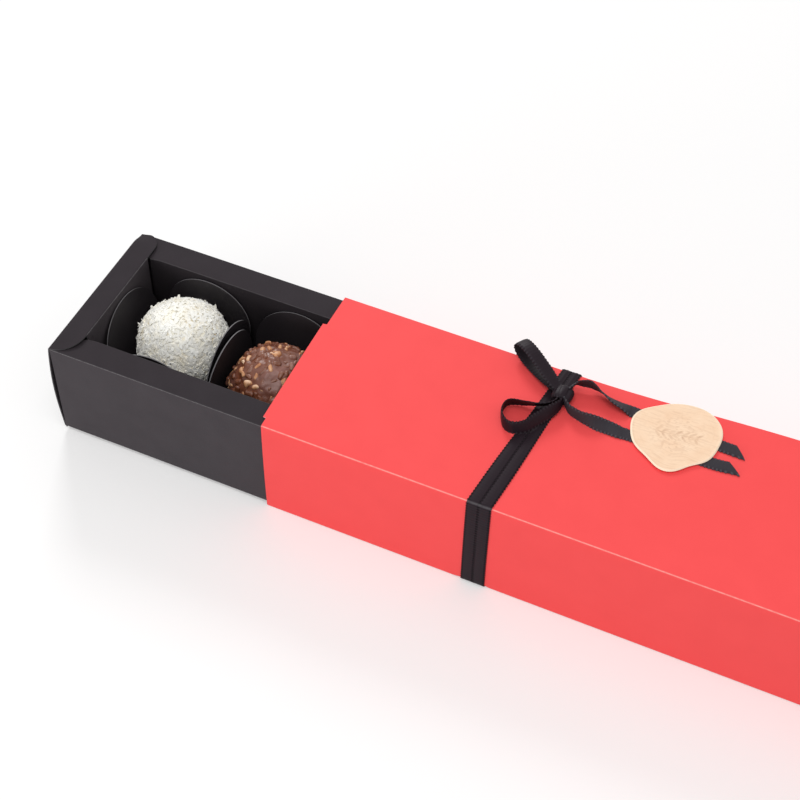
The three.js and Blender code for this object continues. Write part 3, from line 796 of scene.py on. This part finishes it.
# Sleeve
# A tube of coral-red coated card, creased at four edges and closed by a glue flap inside. Its top panel is
# cut a little longer at the mouth. The tight ribbon is pressed into its underside, and the sleeve swells at
# the back beyond the ribbon.
sleeve_low, sleeve_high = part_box("sleeve")
sleeve_card = 0.35 * mm
sleeve_fold = 0.6 * mm
lip_reach = 1.2 * mm
lip_front_reach = 0.85 * mm
lip_front_inset = 3 * mm
lip_back_inset = 12 * mm
lip_step = 0.08 * mm
glue_flap_width = 12 * mm
glue_flap_mitre = 5 * mm
glue_flap_level = 1.95
top_crown = 0.3 * mm
side_bow = 0.18 * mm
swell_start = -40 * mm
swell_full = 28 * mm
swell_fade = 40 * mm
swell_up = 1.2 * mm
swell_back = 2.1 * mm
press_depth = 0.3 * mm
press_reach = 1.5 * mm
band_start = 57.2 * mm
band_width = 7.1 * mm
band_drift = 6 * mm
band_play = 0.05 * mm
red_card = card_finish(
    "red_card", (0.93, 0.079, 0.081), (0.985, 0.091, 0.093), (1.0, 0.4, 0.36), 0.56, 0.014 * mm, 0.8,
    tooth_scale=3400.0, gloss=0.18,
)
red_card_edge = card_finish(
    "red_card_edge", (0.85, 0.3, 0.3), (0.95, 0.42, 0.41), (1, 0.6, 0.6), 0.7, 0.03 * mm, 0.0
)
mouth_x = sleeve_low.x + lip_reach
sleeve_half = sleeve_high.y
sleeve_middle = (sleeve_low.z + sleeve_high.z) / 2
band_middle = mouth_x + band_start + band_width / 2


def back_share(y):
    """0 at the sleeve's front and 1 at its back."""
    return (y + sleeve_half) / (2 * sleeve_half)


def uneven(x):
    return 1 + 0.8 * noise_at(x / (60 * mm), 3.3, 0)


def swelling(x, y):
    """How much the sleeve swells: nothing at its front crease, and the most at its back one."""
    along = step_up(x, swell_start, swell_full) * (1 - step_up(x, swell_fade, sleeve_high.x))
    return along * max(0.0, back_share(y)) ** 2


def top_level(x, y):
    """The height of the sleeve's top, which crowns a little between its creases."""
    crown = top_crown * max(0.0, 1 - (y / sleeve_half) ** 2) * uneven(x)
    return sleeve_high.z + crown + swell_up * swelling(x, y)


def side_push(x, y, z):
    """How far the sleeve's front and back bow out, and nothing for the panels between them."""
    if abs(y) <= sleeve_half - sleeve_fold:
        return 0.0
    return side_bow * max(0.0, 1 - ((z - sleeve_middle) / (sleeve_high.z - sleeve_middle)) ** 2) * uneven(x)


def in_band(x, y, reach):
    """1 under the band of ribbon, falling to 0 by a reach beyond it."""
    off = abs(x - band_middle - band_drift * back_share(y))
    edge = band_width / 2 + band_play
    return 1 - step_up(off, edge, edge + reach)


def on_lip(y, z):
    """Whether a point lies where the top panel is longer at the mouth."""
    return z > sleeve_high.z - tiny and lip_front_inset - sleeve_half < y < sleeve_half - lip_back_inset


def round_stops(half, low, high):
    """Once round a box section, from the middle of its underside to the front."""
    return [(0, low), (-half, low), (-half, high), (half, high), (half, low), (0, low)]


def sleeve_section():
    """The outline of the tube, from the middle of its underside to the front, with steps beside the lip."""
    stops = round_stops(sleeve_half, sleeve_low.z, sleeve_high.z)
    path = fill_in(fold_path(stops, sleeve_fold), 2.4 * mm)[:-1]
    top = [p for p in path if p.y > sleeve_high.z - tiny and abs(p.x) < sleeve_half - sleeve_fold]
    first, past = path.index(top[0]), path.index(top[-1]) + 1
    for inset in (lip_front_inset - sleeve_half, sleeve_half - lip_back_inset):
        top += [Vector((inset + side * lip_step, sleeve_high.z)) for side in (1, -1)]
    return path[:first] + sorted(top, key=lambda p: p.x) + path[past:]


# Places along the sleeve, closer together under the band
band_zone = (mouth_x + band_start - 3 * mm, mouth_x + band_start + band_width + band_drift + 3 * mm)
sleeve_stations = even(mouth_x + 1.5 * mm, band_zone[0], 28)[:-1] + even(*band_zone, 30)
sleeve_stations += even(band_zone[1], -mouth_x, 66)[1:]
sleeve_rows = []
for y, z in sleeve_section():
    lip = lip_front_reach + (lip_reach - lip_front_reach) * back_share(y) if on_lip(y, z) else 0.0
    low_share = 1 - step_up(z, sleeve_low.z, sleeve_low.z + 2 * sleeve_fold)
    high_share = max(0.0, min(1.0, (z - sleeve_low.z) / (sleeve_high.z - sleeve_low.z)))
    row = []
    for x in [mouth_x - lip] + sleeve_stations:
        swell = swelling(x, y) * high_share
        lift = top_level(x, y) - sleeve_high.z if high_share > 0.95 else swell * swell_up
        pressed = press_depth * in_band(x, y, press_reach) * low_share
        outward = copysign(side_push(x, y, z), y)
        row.append(Vector((x, y + outward + swell * swell_back, z + lift + pressed)))
    sleeve_rows.append(row)
sleeve = card_sheet("sleeve_tube", [sleeve_rows], sleeve_card, red_card, red_card_edge, closed=True)

flap_level = sleeve_low.z + glue_flap_level * sleeve_card
flap_rows = []
for share in even(1, 0, 9):
    y = sleeve_half - sleeve_card - share * glue_flap_width
    flap_end = mouth_x + share * glue_flap_mitre
    flap_stations = [flap_end] + sleeve_stations[3:-3] + [-flap_end]
    flap_rows.append([
        Vector((x, y, flap_level + press_depth * in_band(x, y, press_reach))) for x in flap_stations
    ])
glue_flap = card_sheet("sleeve_glue_flap", [flap_rows], sleeve_card * 0.9, red_card, red_card_edge)
for piece in (sleeve, glue_flap):
    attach(piece, "sleeve_body")
    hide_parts("sleeve")

# Ribbon
# One length of narrow black satin with looped edges. It goes twice round the sleeve, drifting along it, and
# is tied in a bow near its back edge.
ribbon_width = 3.6 * mm
ribbon_card = 0.22 * mm
ribbon_gap = 0.04 * mm
ribbon_columns = (-1, -0.93, -0.8, -0.55, -0.28, 0, 0.28, 0.55, 0.8, 0.93, 1)
picot_pitch = 1 * mm
picot_depth = 0.19 * mm
picot_points = 6
edge_drop = 0.2 * mm
edge_drop_middle = 0.8
edge_sag = edge_drop * (1 - edge_drop_middle)
gather_depth = 0.22 * mm
gather_waves = 1.25
cut_reach = 2.5 * mm
thread_depth = 0.07 * mm
crease_highlight_grey = (0.16, 0.15, 0.16)
edge_roughness = 0.25
woven_edge_start, woven_edge_full = 0.66, 0.82


def set_values(made, **columns):
    """Numbers at a mesh's points, which its materials read by name."""
    for label, values in columns.items():
        made.data.attributes.new(label, "FLOAT", "POINT").data.foreach_set("value", values)


def mesh_value(tree, label):
    return add_node(tree, "ShaderNodeAttribute", attribute_name=label).outputs["Fac"]


# Threads: fine ribs across the ribbon, strong in its woven edges and weak in between, and the edges' loops
weave, weave_in = new_group(
    "satin_weave", {"Loop Pitch": picot_pitch, "Body Depth": 0.12}, ["Height", "Edge", "Picot"]
)
weave_ribs = add_math(weave, "DIVIDE", mesh_value(weave, "ribbon_along"), weave_in["Loop Pitch"])
weave_wave = add_math(weave, "SINE", add_math(weave, "MULTIPLY", weave_ribs, 2 * pi))
weave_off = add_math(weave, "ABSOLUTE", mesh_value(weave, "ribbon_across"))
weave_edge = map_range(weave, weave_off, woven_edge_start, woven_edge_full)
weave_depth = map_range(weave, weave_edge, 0.0, 1.0, weave_in["Body Depth"], 1.0)
weave_height = add_math(weave, "MULTIPLY", weave_wave, weave_depth)
weave_picot = add_math(weave, "MULTIPLY", map_range(weave, weave_wave, -0.3, 0.9), weave_edge)
add_node(weave, "NodeGroupOutput", {"Height": weave_height, "Edge": weave_edge, "Picot": weave_picot})


def satin_finish(name, dark, light, loops, roughness, crease_highlight_amount=0.0):
    """Satin from dark to light, its loops' colour, and a painted highlight where it creases over an edge."""
    material, tree = new_material(name)
    threads = use_group(tree, weave)
    blotch = use_group(tree, mottle, {"Blotch Scale": 300.0})["Blotch"]
    colour = mix_colour(tree, threads["Picot"], mix_colour(tree, blotch, dark, light), loops)
    # A painted highlight where the satin bends over an edge
    if crease_highlight_amount:
        wear = add_math(tree, "MULTIPLY", use_group(tree, fold_scuff_and_highlight)["Mask"], crease_highlight_amount)
        colour = mix_colour(tree, wear, colour, crease_highlight_grey)
    rough = (threads["Edge"], roughness, roughness + edge_roughness)
    add_skin(tree, colour, rough, threads["Height"], thread_depth, strength=0.7, Specular_IOR_Level=0.12)
    return material


satin_face = satin_finish(
    "black_satin", (0.0115, 0.0062, 0.0095), (0.019, 0.0115, 0.0165), (0.03, 0.025, 0.03), 0.42
)
# Tails: a paler copy of the same satin, a painted sheen where they lie across the light
satin_tails_painted_sheen = satin_finish(
    "black_satin_back", (0.026, 0.0225, 0.028), (0.042, 0.038, 0.046), (0.075, 0.07, 0.08), 0.55
)
# Turns: near-black loops paint the shade between the two turns, and a painted highlight lies on the crease
satin_turns_shade_and_highlight = satin_finish(
    "black_satin_wrap", (0.0115, 0.0058, 0.0092), (0.019, 0.0105, 0.016), (0.004, 0.003, 0.0035), 0.5, 0.45
)


def resample(points, sides, step):
    """Points and sides at an even step along a path, and its length."""
    lengths = [0.0]
    for before, after in zip(points, points[1:]):
        lengths.append(lengths[-1] + (after - before).length)
    count = max(2, round(lengths[-1] / step))
    places, turned, spot = [], [], 0
    for k in range(count + 1):
        want = lengths[-1] * k / count
        while spot < len(points) - 2 and lengths[spot + 1] < want:
            spot += 1
        share = (want - lengths[spot]) / max(1e-9, lengths[spot + 1] - lengths[spot])
        places.append(points[spot].lerp(points[spot + 1], share))
        turned.append(sides[spot].lerp(sides[spot + 1], share))
    return places, turned, lengths[-1]


def ribbon_strip(node, points, sides, open_share, end_cut=0.0, finish=satin_face):
    """A length of ribbon with looped edges along a path. open_share says how far it is spread at a place."""
    places, turned, length = resample(points, sides, picot_pitch / picot_points)
    corners, faces, along, across = [], [], [], []
    for k, (place, side) in enumerate(zip(places, turned)):
        ahead = (places[min(k + 1, len(places) - 1)] - places[max(k - 1, 0)]).normalized()
        side = (side - ahead * side.dot(ahead)).normalized()
        up = ahead.cross(side)
        run = length * k / (len(places) - 1)
        spread = open_share(place)
        picot = picot_depth * max(0.0, sin(2 * pi * k / picot_points))
        off_floor = step_up(place.z, sleeve_low.z + 0.3 * mm, sleeve_low.z + 2 * mm)
        for column in ribbon_columns:
            loop = picot if abs(column) == 1 else 0.0
            reach = column * ribbon_width * spread / 2 + copysign(loop, column)
            crown = edge_drop * (edge_drop_middle - column**4) * off_floor
            gather = gather_depth * (1 - spread) * cos(2 * gather_waves * pi * column)
            cut = -column * end_cut * max(0.0, (run - length + cut_reach) / cut_reach)
            corners.append(place + side * reach + up * (crown + gather) + ahead * cut)
            along.append(run)
            across.append(column)
    row = len(ribbon_columns)
    for k in range(len(places) - 1):
        for a in range(k * row, k * row + row - 1):
            faces.append((a, a + row, a + row + 1, a + 1))
    made = add_mesh(f"{node}_satin", corners, faces, finish)
    set_values(made, ribbon_along=along, ribbon_across=across)
    thickness = made.modifiers.new("thickness", "SOLIDIFY")
    thickness.thickness = ribbon_card
    thickness.offset = 0
    apply_modifiers(made, 50)
    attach(made, "sleeve_body")
    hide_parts(node)


# The two turns, side by side and overlapping a little, which the knot draws together
turn_overlap = 0.12 * mm
turn_share = 0.92
turn_shift = 0.3 * mm
squeeze_share = 0.79


def squeezed(y, z):
    """The share of the turns' spread that is left. The knot draws them together on the top, more and more
    towards the back, and down the back."""
    if z > sleeve_high.z - sleeve_fold:
        near_knot = step_up(y, -0.7 * sleeve_half, 0.6 * sleeve_half)
    else:
        near_knot = step_up(z, sleeve_low.z, sleeve_high.z) if y > 0 else 0.0
    return 1 - (1 - squeeze_share) * near_knot


def turn_spread(place):
    return turn_share * squeezed(place.y, place.z)


def turn_route(aside):
    """Once round the sleeve, beside the band's middle, drifting along it between the front and the back."""
    lift = ribbon_gap + ribbon_card / 2 + edge_sag
    low = sleeve_low.z + ribbon_card / 2 + 0.02 * mm
    stops = round_stops(sleeve_half + lift, low, sleeve_high.z + lift)
    route = []
    for y, z in fill_in(fold_path(stops, sleeve_fold + lift, 6), 1.2 * mm):
        x = band_middle + aside * squeezed(y, z) + band_drift * back_share(y)
        rise = top_level(x, y) - sleeve_high.z if z > sleeve_middle else 0.0
        route.append(Vector((x, y + copysign(side_push(x, y, z), y), z + rise)))
    return route


for turn_index in (0, 1):
    route = turn_route((turn_index - 0.5) * (ribbon_width * turn_share - turn_overlap) + turn_shift)
    sides = [Vector((-1, 0, 0))] * len(route)
    ribbon_strip(f"ribbon_turn_{turn_index + 1}", route, sides, turn_spread, finish=satin_turns_shade_and_highlight)

knot_low, knot_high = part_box("bow_knot")
knot = (knot_low + knot_high) / 2
gather_share = 0.55
gather_reach = 7 * mm


def gathered(place):
    """The knot draws the ribbon together, and lets it spread again beyond."""
    return gather_share + (1 - gather_share) * step_up((place - knot).length, 0, gather_reach)


# Far loop, which stands on its edges over the sleeve's back edge
far_loop_length = 20 * mm
far_loop_height = 4.8 * mm
far_level = Matrix.Rotation(radians(146), 3, "Z") @ Vector((1, 0, 0))
far_side = Vector((0, 0, 1)).cross(far_level)
far_out = Matrix.Rotation(radians(-4), 3, far_side) @ far_level
far_across = far_out.cross(far_side)
loop_start = radians(34)
fullest = 0.75 * sqrt(3)
far_path = []
for turn in even(loop_start, 2 * pi - loop_start, 81):
    reach = far_loop_length * (1 - cos(turn)) / 2
    swing = far_loop_height * sin(turn) * (1 - cos(turn)) / (2 * fullest)
    far_path.append(knot + far_out * reach + far_across * swing)
ribbon_strip("bow_loop_far", far_path, [far_side] * len(far_path), gathered)

# Places along the near loop and the two tails, from the knot out: shares of a length and of a width, share
# of the knot's height, and the ribbon's roll in degrees
near_loop_size = (12.6 * mm, 16 * mm)
near_loop_shares = [
    (-0.06, -0.14, 1, 75), (-0.1, -0.24, 1, 70), (-0.22, -0.33, 1, 62), (-0.39, -0.39, 0.95, 60),
    (-0.58, -0.42, 0.85, 66), (-0.78, -0.45, 0.8, 71), (-0.93, -0.5, 0.8, 76), (-1, -0.59, 0.8, 84),
    (-1, -0.71, 0.8, 92), (-0.95, -0.83, 0.8, 92), (-0.85, -0.94, 0.8, 86), (-0.7, -1, 0.8, 80),
    (-0.54, -0.98, 0.85, 72), (-0.38, -0.88, 0.9, 64), (-0.25, -0.7, 0.95, 60), (-0.12, -0.52, 1, 60),
    (-0.02, -0.37, 1, 66), (0.04, -0.26, 1, 75), (0.06, -0.14, 1, 80),
]
tail_size = (48 * mm, 5.8 * mm)
tail_cut = 1.7 * mm
back_tail_shares = [
    (0.012, 0.31, 1, -60), (0.04, 0.81, 1.07, -62), (0.077, 0.93, 1.25, -75), (0.115, 1, 1.3, -80),
    (0.149, 0.97, 1.12, -72), (0.178, 0.92, 0.93, -60), (0.229, 0.76, 0.79, -50), (0.258, 0.7, 0.66, -38),
    (0.317, 0.65, 0.42, -27), (0.354, 0.645, 0.17, -12), (0.379, 0.64, 0, 0), (0.44, 0.6, 0, 0),
    (0.665, 0.48, 0, 0), (0.89, 0.35, 0, 0), (1, 0.31, 0, 0),
]
front_tail_shares = [
    (0.017, -0.31, 1, 90), (0.042, -0.52, 1, 90), (0.074, -0.72, 0.92, 90), (0.138, -0.85, 0.82, 86),
    (0.2, -0.86, 0.73, 64), (0.254, -0.845, 0.53, 38), (0.304, -0.8, 0.32, 21), (0.36, -0.79, 0.16, 8),
    (0.405, -0.735, 0, 0), (0.56, -0.74, 0, 0), (0.866, -0.76, 0, 0), (1, -0.66, 0, 0),
]


def smooth_between(stops, share):
    """Catmull-Rom between evenly counted stops, with the last of each, the roll, on straight lines."""
    spot = share * (len(stops) - 1)
    k = min(int(spot), len(stops) - 2)
    t = spot - k
    before, after = stops[k], stops[k + 1]
    first = stops[k - 1] if k else [2 * p - q for p, q in zip(before, after)]
    last = stops[k + 2] if k + 2 < len(stops) else [2 * q - p for p, q in zip(before, after)]
    smooth = [
        0.5 * (2 * q + (r - p) * t + (2 * p - 5 * q + 4 * r - s) * t * t + (3 * q - p - 3 * r + s) * t**3)
        for p, q, r, s in zip(first, before, after, last)
    ]
    return smooth[:3] + [before[3] + (after[3] - before[3]) * t]


def table_ribbon(node, shares, size, end_cut=0.0, finish=satin_face):
    """A ribbon through a table of shares, standing on or lying over the sleeve and the band."""
    lying = ribbon_gap + ribbon_card / 2
    lift = knot.z - sleeve_high.z - lying
    count = 12 * len(shares)
    places, rolls = [], []
    for k in range(count + 1):
        along, aside, up, roll = smooth_between(shares, k / count)
        x, y = knot.x + along * size[0], knot.y + aside * size[1]
        over_band = in_band(x, y, 2 * mm) * ribbon_card * min(1, up * 4)
        level = top_level(x, y) + lying + edge_sag + over_band
        places.append(Vector((x, y, level + max(0.0, up) * lift)))
        rolls.append(radians(roll))
    sides = []
    for k, roll in enumerate(rolls):
        ahead = places[min(k + 1, count)] - places[max(k - 1, 0)]
        ahead.z = 0
        ahead.normalize()
        sides.append(Matrix.Rotation(roll, 3, ahead) @ Vector((0, 0, 1)).cross(ahead))
    ribbon_strip(node, places, sides, gathered, end_cut, finish)


table_ribbon("bow_loop_near", near_loop_shares, near_loop_size)
table_ribbon("ribbon_tail_back", back_tail_shares, tail_size, tail_cut, satin_tails_painted_sheen)
table_ribbon("ribbon_tail_front", front_tail_shares, tail_size, tail_cut, satin_tails_painted_sheen)

# Knot
# The same ribbon, wrapped once over the crossing and drawn tight. It gathers in folds that run the way of
# the two turns under it.
knot_half = Vector((2.7, 2.5, 1.75)) * mm
knot_turn = Matrix.Rotation(-atan(band_drift / (2 * sleeve_half)), 3, "Z")
knot_spokes = 96
pucker_depth = 0.035
pucker_count = 9
fold_slant = 9

# The knot's waist at shares of its half length, and its folds: places round it and widths in degrees, depths
knot_profile = [
    (-0.72, 0.16), (-0.86, 0.4), (-0.97, 0.56), (-1, 0.66), (-0.93, 0.78), (-0.78, 0.89), (-0.55, 0.965),
    (-0.28, 0.995),
]
knot_profile += [(0, 1)] + [(-share, waist) for share, waist in reversed(knot_profile)]
knot_folds = [(58, 12, 0.17), (118, 9, 0.06), (18, 8, 0.07), (150, 10, 0.05), (265, 30, 0.1)]


def knot_size(share, around):
    """How far the gathered satin reaches from the knot's middle line, as a share of its waist."""
    sag = 0
    for middle, width, depth in knot_folds:
        sag += depth * exp(-(((degrees(around) - middle - fold_slant * share) / width) ** 2))
    pucker = pucker_depth * share**2 * cos(pucker_count * around + 3 * share)
    rough = 0.03 * noise_at(share * 2, 2 * cos(around), 2 * sin(around))
    return 1 - sag + pucker + rough


knot_corners, knot_along, knot_across = [], [], []
for share, waist in knot_profile:
    for s in range(knot_spokes):
        around = radians(360 * s / knot_spokes)
        size = waist * knot_size(share, around)
        place = (knot_half.x * size * cos(around), share * knot_half.y, knot_half.z * size * sin(around))
        knot_corners.append(knot + knot_turn @ Vector(place))
        knot_along.append(around * knot_half.x)
        knot_across.append(share * 0.95)
knot_faces = turned_over(tube_faces(0, len(knot_profile), knot_spokes))
knot_piece = add_mesh("bow_knot_wrap", knot_corners, knot_faces, satin_face)
set_values(knot_piece, ribbon_along=knot_along, ribbon_across=knot_across)
apply_modifiers(knot_piece, 70)
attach(knot_piece, "sleeve_body")
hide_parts("bow_knot")

# Seal
# A peach paper sticker with a wavy rim, embossed to look like pressed wax. It is stuck on the sleeve over
# the two tails, and holds them down.
seal_radius = 11.5 * mm
seal_card = 0.55 * mm
seal_place_shares = (0.647, 0.08)
seal_wave_shares = [
    (2, 0.044, -77), (3, 0.047, -133), (4, 0.023, 10), (5, 0.014, 90), (6, 0.019, 136), (7, 0.011, -119),
]
seal_rings, seal_spokes = 72, 240
seal_level, rim_rise, ring_rise, mark_press, bubble_rise = 0.78, 0.12, 0.05, 0.1, 0.06
mark_ink, ring_ink, speck_ink, streak_ink = 1.15, 0.25, 0.5, 0.32
rim_rising, rim_falling = (0.93, 0.955), (0.96, 1.0)
# The seal's outer edge and side wall turn cream: a painted highlight on its rim
edge_rounding, edge_highlight_span = (0.975, 1.0), (0.955, 0.975)
ring_share, ring_spread = 0.8, 0.012
peach_dark, peach_light = (0.905, 0.605, 0.392), (1.0, 0.765, 0.555)
ink_brown, rim_highlight_cream = (0.6, 0.36, 0.22), (1.0, 0.83, 0.625)
seal_x = knot.x + seal_place_shares[0] * tail_size[0]
seal_y = knot.y + seal_place_shares[1] * tail_size[1]


def seal_reach(turn):
    """The seal's radius in a direction."""
    waves = sum(size * cos(count * turn + radians(phase)) for count, size, phase in seal_wave_shares)
    return seal_radius * (1 + waves)


def seal_point(turn, share, height):
    """A point some share of the way out, and some height over the underside, which lies on the tails."""
    x = seal_x + seal_reach(turn) * share * cos(turn)
    y = seal_y + seal_reach(turn) * share * sin(turn)
    return Vector((x, y, top_level(x, y) + ribbon_gap + ribbon_card + 0.13 * mm + height))


def sprig(x, y):
    """How strongly a leafy sprig is pressed at a place, in shares of the seal's radius."""
    stem = abs(y - 0.05 * sin(4 * x))
    mark = (1 - step_up(stem, 0.008, 0.022)) * (abs(x) < 0.5)
    for k in range(7):
        root = -0.46 + 0.145 * k
        for side in (-1, 1):
            leaf_x = x - root - 0.08
            leaf_y = (y - 0.05 * sin(4 * root)) * side - 0.085
            long_way = leaf_x * 0.7 + leaf_y * 0.71
            short_way = leaf_y * 0.7 - leaf_x * 0.71
            inside = (long_way / 0.095) ** 2 + (short_way / 0.032) ** 2
            mark = max(mark, 1 - step_up(inside, 0.5, 1.3))
    return mark


seal_corners, seal_ink, seal_rim_highlight = [], [], []
seal_turns = [2 * pi * s / seal_spokes for s in range(seal_spokes)]
for r in range(1, seal_rings + 1):
    share = r / seal_rings
    for turn in seal_turns:
        x, y = share * cos(turn), share * sin(turn)
        rim = step_up(share, *rim_rising) * (1 - step_up(share, *rim_falling) ** 2)
        ring = exp(-(((share - ring_share) / ring_spread) ** 2)) * (0.4 + noise_at(x * 5, y * 5, 9.0))
        mark = sprig(x, y) * (0.5 + 0.6 * noise_at(x * 9, y * 9, 4.0))
        bubble = bubble_rise * noise_at(x * 5, y * 9, 2.0)
        specks = step_up(noise_at(x * 12, y * 26, 6.0), 0.08, 0.34) * step_up(-share, -0.9, -0.3)
        streaks = step_up(noise_at(x * 2.5, y * 30, 11.0), 0.05, 0.4)
        height = seal_card * (seal_level + rim_rise * rim + ring_rise * ring - mark_press * mark + bubble)
        height *= 1 - 0.5 * step_up(share, *edge_rounding)
        seal_corners.append(seal_point(turn, share, height))
        seal_ink.append(max(0.0, mark_ink * mark, ring_ink * ring, speck_ink * specks, streak_ink * streaks))
        seal_rim_highlight.append(step_up(share, *edge_highlight_span))
for turn in seal_turns:
    seal_corners.append(seal_point(turn, 0.985, 0.0))
    seal_ink.append(0.0)
    seal_rim_highlight.append(1.0)
seal_finish, tree = new_material("seal_paper")
grain = use_group(tree, mottle, {"Blotch Scale": 260.0, "Tooth Scale": 2400.0})
plain = mix_colour(tree, grain["Blotch"], peach_dark, peach_light)
ink = add_math(tree, "MULTIPLY", mesh_value(tree, "pressed_mark"), 0.68)
marked = mix_colour(tree, ink, plain, ink_brown)
# Painted highlight: the rim and side wall turn cream
seal_colour = mix_colour(tree, mesh_value(tree, "pale_rim"), marked, rim_highlight_cream)
add_skin(tree, seal_colour, (grain["Tooth"], 0.45, 0.62), grain["Tooth"], 0.02 * mm)
seal_faces = turned_over(tube_faces(0, seal_rings + 1, seal_spokes))
seal = add_mesh("seal_sticker", seal_corners, seal_faces, seal_finish)
set_values(seal, pressed_mark=seal_ink, pale_rim=seal_rim_highlight)
apply_modifiers(seal, 50)
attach(seal, "sleeve_body")
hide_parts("seal")
